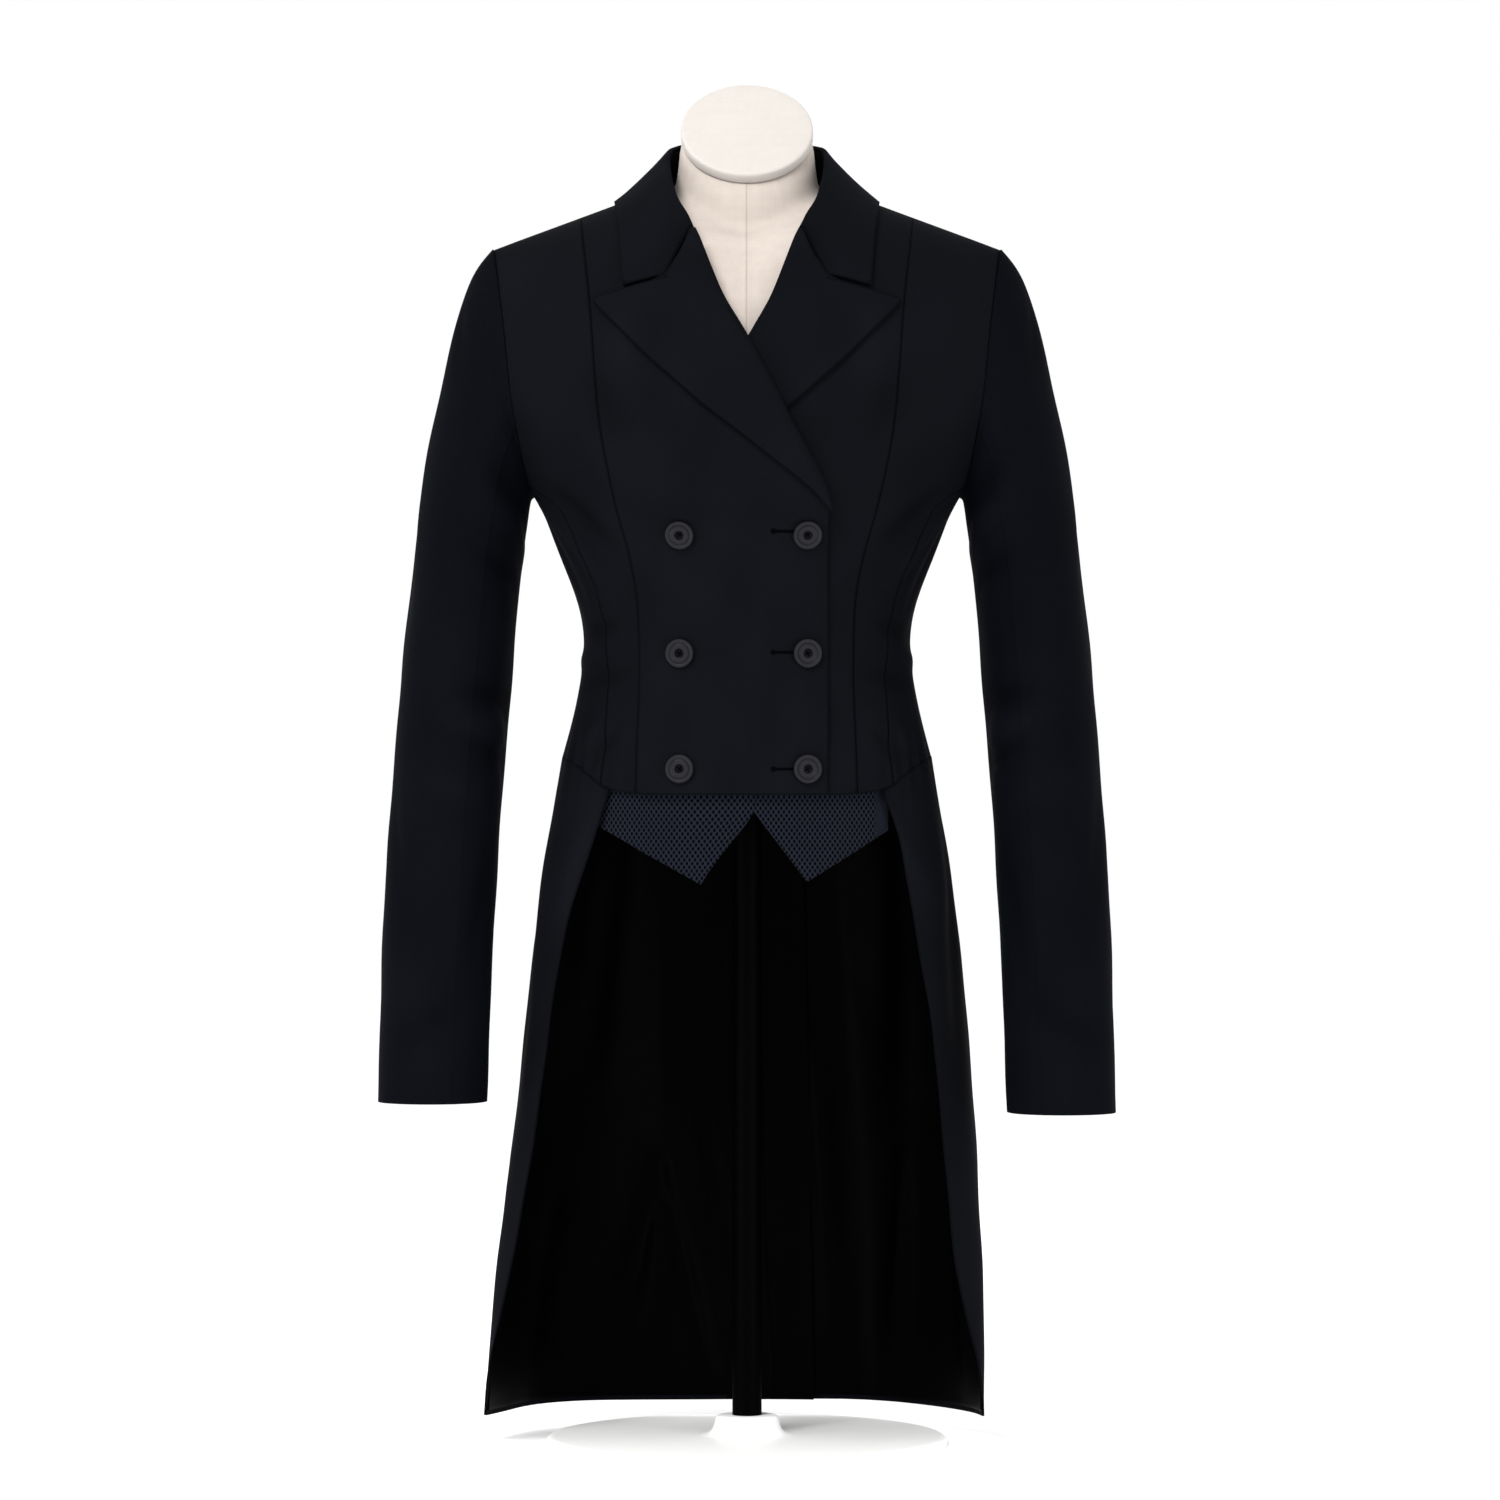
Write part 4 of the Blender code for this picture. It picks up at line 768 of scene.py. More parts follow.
def pucker(angle, height):
    """Small gathers along the waist seam."""
    seam = np.interp(angle, WAIST_ANGLES, WAIST_HEIGHTS)
    u = np.radians(angle) * BODY_RADIUS
    wave = np.sin(u / PUCKER_LENGTH * math.tau + PUCKER_WANDER * np.sin(u * PUCKER_WANDER_RATE))
    uneven = 0.55 + 0.45 * np.sin(u * PUCKER_UNEVEN_RATE + 1.0)
    near = np.exp(-np.abs(height - seam) / PUCKER_REACH)
    return PUCKER_DEPTH * wave * uneven * near * ease((angle - PUCKER_FROM) / PUCKER_RUN)


def body_form(points, layout):
    """Moves the points of a body panel, a lapel or the collar by the creases of the body."""
    angle, height, out = layout(points)
    still = ease(-root_distance(points) / ARMHOLE_BODY_STILL)
    still = np.where(height > ARMPIT_Z, still, 1.0)
    depth = crease(angle, height, BODY_CREASES, BODY_RADIUS) + unevenness(angle, height, BODY_RADIUS)
    return points + out * (depth * still + pucker(angle, height))[:, None]


print("creases by hand on the body:", len(BODY_CREASES))

# %% [markdown]
# The back seam of the underarm panel is strongly curved, so its two edges don't quite meet after they are
# rounded. A pull on the outer part of the panel shuts the seam. The middle of the panel stays where it is.

# %% How the back seams close
# Level bands that find a panel's ends, the share of its half width where the pull starts, and its run
SEAM_BANDS = 14
SEAM_FROM = 0.75
SEAM_RUN = 0.20
UNDERARM_CLOSE = 0.0006


def seam_ends(angle, height):
    """The first and the last angle of a panel at each height, from level bands of its points."""
    borders = np.linspace(height.min(), height.max(), SEAM_BANDS + 1)
    band = np.clip(np.searchsorted(borders, height) - 1, 0, SEAM_BANDS - 1)
    middles = (borders[1:] + borders[:-1]) / 2
    ends = [[pick(angle[band == k]) for k in range(SEAM_BANDS)] for pick in (np.min, np.max)]
    return [np.interp(height, middles, end) for end in ends]


def off_middle(angle, height):
    """How far each place of a panel lies from its middle line: -1 at its first seam, 1 at its last."""
    first, last = seam_ends(angle, height)
    return (angle - (first + last) / 2) / ((last - first) / 2)


def underarm_form(points, layout):
    """Moves the points of an underarm panel, and closes its curved back seam."""
    angle, height, _ = layout(points)
    pull = UNDERARM_CLOSE * ease((off_middle(angle, height) - SEAM_FROM) / SEAM_RUN)
    turned = np.radians(angle)
    side = np.sign(points[:, 0])
    drawn = np.stack([side * np.cos(turned) * pull, np.sin(turned) * pull, pull * 0], axis=1)
    return body_form(points + drawn, layout)


print("back seams closed by", UNDERARM_CLOSE * 1000, "mm")

# %% [markdown]
# The body has four panels on each side: the front that carries the buttons, the side front beyond the princess
# seam, the underarm body and the back. The wearer's right front laps over the left one.

# %% Body panels
FORM_NAME = "dress_form"
for side, name in SIDE_NAMES.items():
    for part in ("front_", "side_front_", "underarm_", "back_"):
        form = underarm_form if part == "underarm_" else body_form
        panel = cloth_piece(part + name, body_layout(side), BODY_RADIUS, form, COAT)
        cut_sheet(panel)

# %% [markdown]
# Sleeves break at the elbow and near the cuff, and pull from the armpit. Their seams are drawn shut like the
# back seams, and near the armhole the creases fade and the sleeve is drawn in to the body.

# %% How the sleeves crease
# The same columns. The angle is 0 at the outer side, 90 at the front, 180 towards the body and 270 at the back
SLEEVE_CREASES = [
    (158, 0.684, 98, 0.738, 0.0100, -0.0030),
    (168, 0.666, 104, 0.704, 0.0090, 0.0022),
    (150, 0.640, 96, 0.668, 0.0080, -0.0016),
    (204, 0.686, 262, 0.742, 0.0100, -0.0030),
    (196, 0.664, 254, 0.702, 0.0095, 0.0022),
    (96, 0.566, 168, 0.549, 0.0080, -0.0024),
    (82, 0.548, 156, 0.528, 0.0085, 0.0018),
    (104, 0.524, 176, 0.508, 0.0070, -0.0019),
    (72, 0.500, 132, 0.484, 0.0100, 0.0012),
    (238, 0.560, 292, 0.546, 0.0100, -0.0016),
    (226, 0.524, 276, 0.514, 0.0090, 0.0013),
    (36, 0.500, 62, 0.372, 0.0140, -0.0013),
    (-24, 0.470, 8, 0.330, 0.0150, 0.0011),
    (140, 0.440, 118, 0.352, 0.0120, -0.0014),
    (256, 0.420, 232, 0.318, 0.0130, -0.0013),
    (116, 0.334, 58, 0.306, 0.0090, -0.0012),
    (300, 0.326, 348, 0.300, 0.0100, -0.0010),
    (26, 0.852, 60, 0.790, 0.0120, -0.0012),
    (334, 0.850, 300, 0.788, 0.0120, -0.0012),
    (10, 0.700, 34, 0.600, 0.0160, -0.0012),
    (350, 0.640, 330, 0.540, 0.0150, 0.0010),
]
# How far the seams are drawn shut, and how near to the armhole the creases fade
SEAM_CLOSE = 0.0004
ARMHOLE_SLEEVE_STILL = 0.030
# The root of the sleeve: how far it is drawn to the body, from how far off, and from which height upwards too
ROOT_CLOSE = 0.0012
ROOT_REACH = 0.022
SLEEVE_TOP_FROM = 0.855
SLEEVE_TOP_RUN = 0.030


def sleeve_form(points, layout):
    """Moves the points of a sleeve by its creases, which fade towards the armhole, and closes its seams."""
    angle, height, out = layout(points)
    off = off_middle(angle, height)
    pull = SEAM_CLOSE * np.sign(off) * ease((np.abs(off) - SEAM_FROM) / SEAM_RUN)
    turned = np.radians(angle)
    side = np.sign(points[:, 0])
    points = points + np.stack([-side * np.sin(turned) * pull, -np.cos(turned) * pull, pull * 0], axis=1)
    free = ease(root_distance(points) / ARMHOLE_SLEEVE_STILL)
    depth = crease(angle, height, SLEEVE_CREASES, SLEEVE_RADIUS) + unevenness(angle, height, SLEEVE_RADIUS)
    near_root = 1 - ease(root_distance(points) / ROOT_REACH)
    top = ease((height - SLEEVE_TOP_FROM) / SLEEVE_TOP_RUN)
    inwards = -side * near_root * ROOT_CLOSE
    to_body = np.stack([inwards, inwards * 0, near_root * top * ROOT_CLOSE], axis=1)
    return points + out * (depth * free)[:, None] + to_body


print("creases by hand on each sleeve:", len(SLEEVE_CREASES))

# %% [markdown]
# A two-piece sleeve hangs slightly bent. Its top sleeve shows from the front, and the under sleeve faces the
# body. Both read the layout of the arm, so the elbow creases run across the seam between them.

# %% Sleeves
for side, name in SIDE_NAMES.items():
    for part, inner in (("top_sleeve_", False), ("under_sleeve_", True)):
        panel = cloth_piece(
            part + name, sleeve_layout(side, inner), SLEEVE_RADIUS, sleeve_form, SHADED_SLEEVE_TWILL, edge_round=SLEEVE_EDGE_ROUND,
        )
        cut_sheet(panel)

# %% [markdown]
# The inner edges of collar and lapels make one straight line on each side of the neck, and collar and lapel meet
# at the gorge seam. In the CAD model these panels only come near to each other. Joining their meshes would lose
# the seam, so their points are drawn to the line and to the seam instead.

# %% How the neckline is drawn
# The part of the body that turns to the front, by its depth
FRONT_DEPTH = 0.03
# The line: from where it moves, how far in, and between which heights it fades in and out
NECKLINE_X = 0.044
NECKLINE_FADE = 0.020
NECKLINE_IN = 0.0044
NECKLINE_START = 0.845
NECKLINE_START_RUN = 0.050
NECKLINE_END = 0.902
NECKLINE_END_RUN = 0.032
# The gorge: its height and reach, where its pull fades outwards and inwards, and how far it lifts
GORGE_Z = 0.8985
GORGE_REACH = 0.010
GORGE_OUTER_X = 0.050
GORGE_OUTER_RUN = 0.012
GORGE_END_X = 0.044
GORGE_END_RUN = 0.006
GORGE_LIFT = 0.0012
# The gorge seam of the collar: its upper end, the way down along it, and the shift of its edge with its fades
GORGE_TOP = (0.0430, 0.9048)
GORGE_WAY = (0.5255, -0.8508)
GORGE_LENGTH = 0.0404
GORGE_FADE = 0.010
GORGE_SHIFT = {RIGHT: 0.0011, LEFT: 0.0024}
GORGE_RISE = 0.15
GORGE_FALL_FROM = 0.85
GORGE_FALL_RUN = 0.25


def neckline_form(lift):
    """Draws the inner edge of the collar and the lapels onto one straight line, and closes the gorge."""
    def move(points, layout):
        side = np.sign(points[:, 0])
        x, y, z = np.abs(points[:, 0]), points[:, 1], points[:, 2]
        front = ease(-y / FRONT_DEPTH)
        beside = 1 - ease((x - NECKLINE_X) / NECKLINE_FADE)
        level = ease((z - NECKLINE_START) / NECKLINE_START_RUN)
        level *= 1 - ease((z - NECKLINE_END) / NECKLINE_END_RUN)
        at_gorge = np.exp(-(((z - GORGE_Z) / GORGE_REACH) ** 2)) * (1 - ease((x - GORGE_OUTER_X) / GORGE_OUTER_RUN))
        at_gorge *= 2 - ease((x - GORGE_END_X) / GORGE_END_RUN)
        shift = NECKLINE_IN * beside * level * front
        drawn = np.stack([-side * shift, shift * 0, lift * at_gorge * front], axis=1)
        return body_form(points + drawn, layout)
    return move


def collar_form(points, layout):
    """Moves the collar's fall, and first draws its gorge edges over to the lapels."""
    x, z = np.abs(points[:, 0]) - GORGE_TOP[0], points[:, 2] - GORGE_TOP[1]
    along = (x * GORGE_WAY[0] + z * GORGE_WAY[1]) / GORGE_LENGTH
    away = z * GORGE_WAY[0] - x * GORGE_WAY[1]
    shift = np.where(points[:, 0] < 0, GORGE_SHIFT[RIGHT], GORGE_SHIFT[LEFT])
    shift = shift * (1 - ease(away / GORGE_FADE)) * ease((along + GORGE_RISE) / GORGE_RISE)
    shift *= 1 - ease((along - GORGE_FALL_FROM) / GORGE_FALL_RUN)
    shift *= ease(-points[:, 1] / FRONT_DEPTH)
    drawn = np.stack([np.sign(points[:, 0]) * shift * GORGE_WAY[1], shift * 0, -shift * GORGE_WAY[0]], axis=1)
    return neckline_form(-GORGE_LIFT)(points + drawn, layout)


print("neckline drawn in by", NECKLINE_IN * 1000, "mm")

# %% [markdown]
# Lapels and collar are pressed hard, so they carry no creases of their own. They only follow those of the fronts
# that they lie on, which keeps the narrow shadow under them even.

# %% Lapels and collar
COLLAR_RADIUS = 0.085
for side, name in SIDE_NAMES.items():
    panel = cloth_piece("lapel_" + name, body_layout(side), BODY_RADIUS, neckline_form(GORGE_LIFT), COAT, levels=2)
    cut_sheet(panel)
for node, form in (("collar_fall", collar_form), ("collar_stand", neckline_form(-GORGE_LIFT))):
    panel = cloth_piece(node, body_layout(LEFT), COLLAR_RADIUS, form, COAT, levels=2)
    cut_sheet(panel)

# %% [markdown]
# Below the waist seam the cloth hangs free, in long folds. A tail also takes over what the body does at the seam,
# so the seam stays shut. The lining follows its tail a little further in, and has loose folds of its own.

# %% How the tails hang
# The same columns, with the angles of the body
TAIL_CREASES = {
    RIGHT: [
        (50, 0.484, 63, 0.402, 0.0100, -0.0016),
        (60, 0.480, 70, 0.380, 0.0110, 0.0014),
        (92, 0.470, 86, 0.215, 0.0140, -0.0030),
        (108, 0.440, 112, 0.120, 0.0160, 0.0026),
        (132, 0.460, 128, 0.260, 0.0130, -0.0024),
        (150, 0.400, 156, 0.090, 0.0170, 0.0028),
        (172, 0.470, 166, 0.300, 0.0110, -0.0016),
    ],
    LEFT: [
        (43, 0.488, 60, 0.416, 0.0095, -0.0026),
        (51, 0.488, 69, 0.398, 0.0115, 0.0024),
        (84, 0.466, 78, 0.240, 0.0140, -0.0028),
        (102, 0.450, 98, 0.110, 0.0165, 0.0028),
        (124, 0.440, 130, 0.190, 0.0140, -0.0026),
        (148, 0.420, 142, 0.080, 0.0170, 0.0026),
        (168, 0.480, 172, 0.280, 0.0110, -0.0015),
    ],
}
# Loose folds of the linings alone, which lift off the tails into the hollow between them
LINING_FOLDS = {
    RIGHT: [
        (150, 0.204, 135, 0.034, 0.0100, 0.0052),
        (150, 0.204, 166, 0.034, 0.0090, 0.0046),
        (164, 0.250, 172, 0.130, 0.0070, 0.0030),
        (120, 0.180, 112, 0.040, 0.0110, 0.0034),
    ],
    LEFT: [
        (156, 0.300, 150, 0.040, 0.0110, 0.0040),
        (128, 0.210, 134, 0.035, 0.0100, 0.0044),
        (108, 0.170, 102, 0.040, 0.0090, 0.0030),
    ],
}
LINING_IN = 0.0005
# The waist seam: how far the tail is raised to close it, how far down, and where it is raised twice as far
WAIST_CLOSE = 0.0012
WAIST_CLOSE_REACH = 0.020
WAIST_FRONT_ANGLE = 62
WAIST_FRONT_RUN = 20


def tail_form(side):
    """Moves the points of a tail: what the body does at the waist seam, and the tail's own creases."""
    def move(points, layout):
        angle, height, out = layout(points)
        seam = np.interp(angle, WAIST_ANGLES, WAIST_HEIGHTS)
        near_front = 1 - ease((angle - WAIST_FRONT_ANGLE) / WAIST_FRONT_RUN)
        raised = WAIST_CLOSE * (1 + near_front) * (1 - ease((seam - height) / WAIST_CLOSE_REACH))
        points = points + np.stack([raised * 0, raised * 0, raised], axis=1)
        depth = crease(angle, height, TAIL_CREASES[side] + BODY_CREASES, BODY_RADIUS)
        depth += unevenness(angle, height, BODY_RADIUS) + pucker(angle, height)
        return points + out * depth[:, None]
    return move


def lining_form(side):
    """The lining follows its tail, a little further in, and its own folds lift off it."""
    def move(points, layout):
        angle, height, out = layout(points)
        loose = LINING_IN + crease(angle, height, LINING_FOLDS[side], BODY_RADIUS)
        return tail_form(side)(points, layout) - out * loose[:, None]
    return move


print("creases by hand on the tails:", len(TAIL_CREASES[RIGHT]), "and", len(TAIL_CREASES[LEFT]))

# %% [markdown]
# The tails hang free from the waist seam in long soft folds, and the wearer's left one laps over the right at
# the back. Their satin linings follow the same folds and lift away from them lower down, where the hem lets
# them move.

# %% Tails and linings
BACK_BAND_FROM = 174


def line_back_band(tail, layout):
    """Gives the inner face of a tail, from near its back edge on, the lining's satin."""
    tail.data.materials.append(LINING)
    centres = np.empty(len(tail.data.polygons) * 3)
    normals = np.empty_like(centres)
    tail.data.polygons.foreach_get("center", centres)
    tail.data.polygons.foreach_get("normal", normals)
    angle, _, out = layout(centres.reshape(-1, 3))
    inside = (out * normals.reshape(-1, 3)).sum(axis=1) < 0
    tail.data.polygons.foreach_set("material_index", (inside & (angle > BACK_BAND_FROM)).astype(np.int32))


for side, name in SIDE_NAMES.items():
    tail = cloth_piece("tail_" + name, body_layout(side), BODY_RADIUS, tail_form(side), COAT)
    line_back_band(tail, body_layout(side))
    cut_sheet(tail)
    lining = cloth_piece("tail_lining_" + name, body_layout(side), BODY_RADIUS, lining_form(side), LINING)
    cut_sheet(lining)

# %% [markdown]
# The vest points follow the fronts, and their inner corners are drawn together until they meet at the centre.
# Their check follows the distance round the cloth, because straight across it would be stretched at the sides.

# %% How the vest points lie
# The inner corner: from where it moves, how far, and between which heights it grows; and the left point's turn
VEST_CORNER_X = 0.004
VEST_CORNER_FADE = 0.060
VEST_CORNER_REACH = {RIGHT: 0.0078, LEFT: 0.0004}
VEST_CORNER_LOW = 0.430
VEST_CORNER_HIGH = 0.4748
VEST_TURN = {RIGHT: 0.0, LEFT: 0.0205}
# Distance from the centre line straight across and round the cloth, at the front hem
VEST_ACROSS = (0.0, 0.030, 0.050, 0.070, 0.085, 0.095, 0.105, 0.112)
VEST_ROUND = (0.0, 0.0300, 0.0502, 0.0707, 0.0866, 0.0976, 0.1091, 0.1177)


def vest_form(side):
    """The vest points follow the front hem, and their inner corners meet at the centre."""
    def move(points, layout):
        x, y, z = points.T
        near = 1 - ease((side * x - VEST_CORNER_X) / VEST_CORNER_FADE)
        rise = np.clip((z - VEST_CORNER_LOW) / (VEST_CORNER_HIGH - VEST_CORNER_LOW), 0, 1)
        closing = side * VEST_CORNER_REACH[side] * near * rise
        turn = VEST_TURN[side]
        return body_form(np.stack([x - y * turn - closing, y + x * turn, z], axis=1), layout)
    return move


def vest_weave(side):
    """Distance round the front from the centre line, and height, so that the check keeps its true scale."""
    def read(points):
        return np.interp(side * points[:, 0], VEST_ACROSS, VEST_ROUND), points[:, 2]
    return read


print("inner corners of the vest points drawn in by", [reach * 1000 for reach in VEST_CORNER_REACH.values()], "mm")

# %% [markdown]
# The vest points are flat pointed flaps that are sewn in behind the front hem, so they follow the fronts.

# %% Vest points
for side, name in SIDE_NAMES.items():
    panel = cloth_piece(
        "vest_point_" + name, body_layout(side), BODY_RADIUS, vest_form(side), VEST[side], weave=vest_weave(side),
    )
    cut_sheet(panel)

# %% [markdown]
# A coat button is turned or moulded: a raised rim, a shallow groove, and a small dished centre with four holes.
# A profile is spun into the solid, and a Boolean cuts the holes. Two crossed stitches hold it. The face stays
# bare.

# %% One button
# Profile of a button: distance from its middle, height
BUTTON_PROFILE = [
    (0.0000, 0.0007), (0.0018, 0.0007), (0.0028, 0.0008), (0.0032, 0.0014), (0.0035, 0.0026), (0.0042, 0.0029),
    (0.0066, 0.0027), (0.0071, 0.0024), (0.0076, 0.0024), (0.0080, 0.0028), (0.0093, 0.0032), (0.0101, 0.0030),
    (0.0106, 0.0023), (0.0107, 0.0017), (0.0103, 0.0008), (0.0094, 0.0001), (0.0000, 0.0001),
]
BUTTON_SIDES = 56
HOLES = 4
HOLE_OUT = 0.0014
HOLE_RADIUS = 0.00078
CUTTER_LENGTH = 0.010
STITCH_RADIUS = 0.00036
STITCH_HEIGHT = 0.00095
STITCH_LENGTH = HOLE_OUT * 2.2


def turned(profile, sides):
    """A bmesh of a profile spun round Z."""
    bm = bmesh.new()
    verts = [bm.verts.new((radius, 0, height)) for radius, height in profile]
    edges = [bm.edges.new(pair) for pair in zip(verts, verts[1:])]
    bmesh.ops.spin(
        bm, geom=verts + edges, cent=(0, 0, 0), axis=(0, 0, 1), angle=math.tau, steps=sides, use_merge=True,
    )
    bmesh.ops.remove_doubles(bm, verts=bm.verts[:], dist=MERGE)
    bmesh.ops.recalc_face_normals(bm, faces=bm.faces[:])
    return bm


def rod(bm, radius, length, place):
    """Adds a closed round rod to a bmesh."""
    bmesh.ops.create_cone(
        bm, cap_ends=True, segments=12, radius1=radius, radius2=radius, depth=length, matrix=place,
    )


cutter_mesh = bmesh.new()
for k in range(HOLES):
    turn = math.tau * (k + 0.5) / HOLES
    spot = Vector((math.cos(turn), math.sin(turn), 0)) * HOLE_OUT
    rod(cutter_mesh, HOLE_RADIUS, CUTTER_LENGTH, Matrix.Translation(spot))
cutter = into_object("hole_cutter", cutter_mesh)
blank = into_object("button_blank", turned(BUTTON_PROFILE, BUTTON_SIDES))
blank.data.materials.append(PLASTIC)
blank.data.materials.append(THREAD)
cut = blank.modifiers.new("holes", "BOOLEAN")
cut.operation = "DIFFERENCE"
cut.solver = "EXACT"
cut.object = cutter
button_mesh = evaluated(blank)
bpy.data.objects.remove(cutter)
stitched = bmesh.new()
stitched.from_mesh(button_mesh)
plastic_faces = set(stitched.faces)
for turn in (math.radians(45), math.radians(135)):
    lie = Matrix.Rotation(turn, 4, "Z") @ Matrix.Rotation(math.radians(90), 4, "Y")
    rod(stitched, STITCH_RADIUS, STITCH_LENGTH, Matrix.Translation((0, 0, STITCH_HEIGHT)) @ lie)
for face in stitched.faces:
    face.material_index = 0 if face in plastic_faces else 1
    face.smooth = True
stitched.to_mesh(button_mesh)
stitched.free()
button_mesh.set_sharp_from_angle(angle=math.radians(35))
# rise sets the painted shade and highlight of each button
rise = button_mesh.attributes.new("rise", "FLOAT", "POINT")
rise.data.foreach_set("value", points_of(button_mesh)[:, 2].copy())
print("one button:", len(button_mesh.polygons), "faces")

# %% [markdown]
# The buttons sit on the finished cloth of the outer front. Rays shot at the cloth round each button's place
# give its level there, so every button lies flat on it.

# %% Six buttons
BUTTON_COLUMNS = {"outer": 0.0443, "inner": -0.0492}
BUTTON_HEIGHTS = {"top": 0.6785, "middle": 0.5915, "bottom": 0.5065}
BUTTON_RADIUS = 0.0107
BUTTON_GAP = 0.0002
SEAT_PLACES = 8
front_tree = bvhtree.BVHTree.FromObject(
    bpy.data.objects["cloth_front_right"], bpy.context.evaluated_depsgraph_get(),
)
INTO_CLOTH = Vector((0, 1, 0))


def cloth_at(x, z):
    """Point of the outer front's face at a distance from the centre and a height."""
    return front_tree.ray_cast(Vector((x, -1, z)), INTO_CLOTH)[0]


def seat(x, z, radius):
    """Placement of a round piece that lies level on the outer front."""
    turns = [math.tau * k / SEAT_PLACES for k in range(SEAT_PLACES)]
    ring = [cloth_at(x + math.cos(turn) * radius, z + math.sin(turn) * radius) for turn in turns]
    middle = sum(ring, Vector()) / SEAT_PLACES
    right, top, left, bottom = ring[:: SEAT_PLACES // 4]
    normal = (right - left).cross(bottom - top).normalized()
    if normal.y > 0:
        normal.negate()
    highest = max((place - middle).dot(normal) for place in ring + [cloth_at(x, z)])
    turn = Vector((0, 0, 1)).rotation_difference(normal)
    return Matrix.Translation(middle + normal * (highest + BUTTON_GAP)) @ turn.to_matrix().to_4x4()


for column, x in BUTTON_COLUMNS.items():
    for row, z in BUTTON_HEIGHTS.items():
        node = "button_" + column + "_" + row
        mesh = button_mesh.copy()
        mesh.transform(seat(x, z, BUTTON_RADIUS))
        button = bpy.data.objects.new("stitched_" + node, mesh)
        bpy.context.scene.collection.objects.link(button)
        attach(button, "root")
        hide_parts(node)
print("buttons placed:", len(BUTTON_COLUMNS) * len(BUTTON_HEIGHTS))

# %% [markdown]
# Beside each button of the outer column lies its buttonhole, a tailor's keyhole: a narrow slit that ends in a
# round eye, bound all round with close stitches. A closed curve in the shape of a keyhole, bent onto the cloth,
# gives the binding. A dark sheet behind it fills the slit and the eye, as painted shade of the opening.

# %% Buttonholes
HOLE_FROM = 0.0178
HOLE_TO = 0.0350
HOLE_HEIGHTS = {"top": 0.6806, "middle": 0.5922, "bottom": 0.5065}
EYE_RADIUS = 0.0015
SLIT_HALF = 0.00055
BINDING = 0.00050
BINDING_LIFT = Vector((0, -0.0001, 0))
EYE_STEPS = 10
SLIT_STEPS = 8


def keyhole(middle_z):
    """Points of a keyhole outline, as distance from the centre and height."""
    eye_x = HOLE_FROM + EYE_RADIUS
    opening = math.asin(SLIT_HALF / EYE_RADIUS)
    outline = []
    for k in range(EYE_STEPS + 1):
        turn = opening + (math.tau - 2 * opening) * k / EYE_STEPS
        outline.append((eye_x + math.cos(turn) * EYE_RADIUS, middle_z + math.sin(turn) * EYE_RADIUS))
    run = HOLE_TO - eye_x - EYE_RADIUS
    for k in range(1, SLIT_STEPS + 1):
        outline.append((eye_x + EYE_RADIUS + run * k / SLIT_STEPS, middle_z - SLIT_HALF))
    for k in range(SLIT_STEPS, 0, -1):
        outline.append((eye_x + EYE_RADIUS + run * k / SLIT_STEPS, middle_z + SLIT_HALF))
    return outline


for row, z in HOLE_HEIGHTS.items():
    outline = [cloth_at(x, height) for x, height in keyhole(z)]
    curve = bpy.data.curves.new("binding", "CURVE")
    curve.dimensions = "3D"
    curve.bevel_depth = BINDING
    curve.bevel_resolution = 1
    line = curve.splines.new("POLY")
    line.points.add(len(outline) - 1)
    for point, spot in zip(line.points, outline):
        point.co = (*(spot + BINDING_LIFT), 1)
    line.use_cyclic_u = True
    guide = bpy.data.objects.new("binding", curve)
    bpy.context.scene.collection.objects.link(guide)
    bpy.context.view_layer.update()
    mesh = evaluated(guide)
    bpy.data.curves.remove(curve)
    bm = bmesh.new()
    bm.from_mesh(mesh)
    # The slit and the eye are filled with a dark sheet: painted shade of the opening
    slit = [bm.verts.new(spot + BINDING_LIFT) for spot in outline]
    bmesh.ops.contextual_create(bm, geom=slit)
    bpy.data.meshes.remove(mesh)
    hole = into_object("buttonhole_" + row, bm)
    hole.data.materials.append(THREAD)
    hole.data.shade_smooth()
    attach(hole, "root")
print("buttonholes bound:", len(HOLE_HEIGHTS))

# %% [markdown]
# The form under the coat is one padded, linen covered shape, so its neck grows smoothly out of the shoulders.
# The CAD solid has a crisp line there. A voxel remesh of a merged copy makes one even skin, and a light
# smoothing lets the neck flow into the chest.

# %% Dress form
FORM_VOXEL = 0.0036
FORM_SMOOTHINGS = 14
form = into_object(FORM_NAME, merged_copy("form_torso"))
skin = form.modifiers.new("skin", "REMESH")
skin.mode = "VOXEL"
skin.voxel_size = FORM_VOXEL
calm = form.modifiers.new("calm", "SMOOTH")
calm.factor = 0.5
calm.iterations = FORM_SMOOTHINGS
form_mesh = evaluated(form)
form_mesh.shade_smooth()
form_mesh.materials.append(LINEN)
dress_form = bpy.data.objects.new(FORM_NAME, form_mesh)
bpy.context.scene.collection.objects.link(dress_form)
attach(dress_form, "root")
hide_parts("form_torso")
print("dress form:", len(form_mesh.polygons), "faces")

# %% [markdown]
# A flat oval plate closes the neck, tilted down to the front. It starts as a circle, which is stretched to the
# oval, given its thickness, and rounded at both rims.

# %% Neck cap
CAP_HALF_WIDE = 0.0495
CAP_HALF_LONG = 0.0550
CAP_TILT = math.radians(43.7)
CAP_HEIGHT = 0.9795
CAP_THICKNESS = 0.0085
CAP_GAP = 0.0003
CAP_SIDES = 72
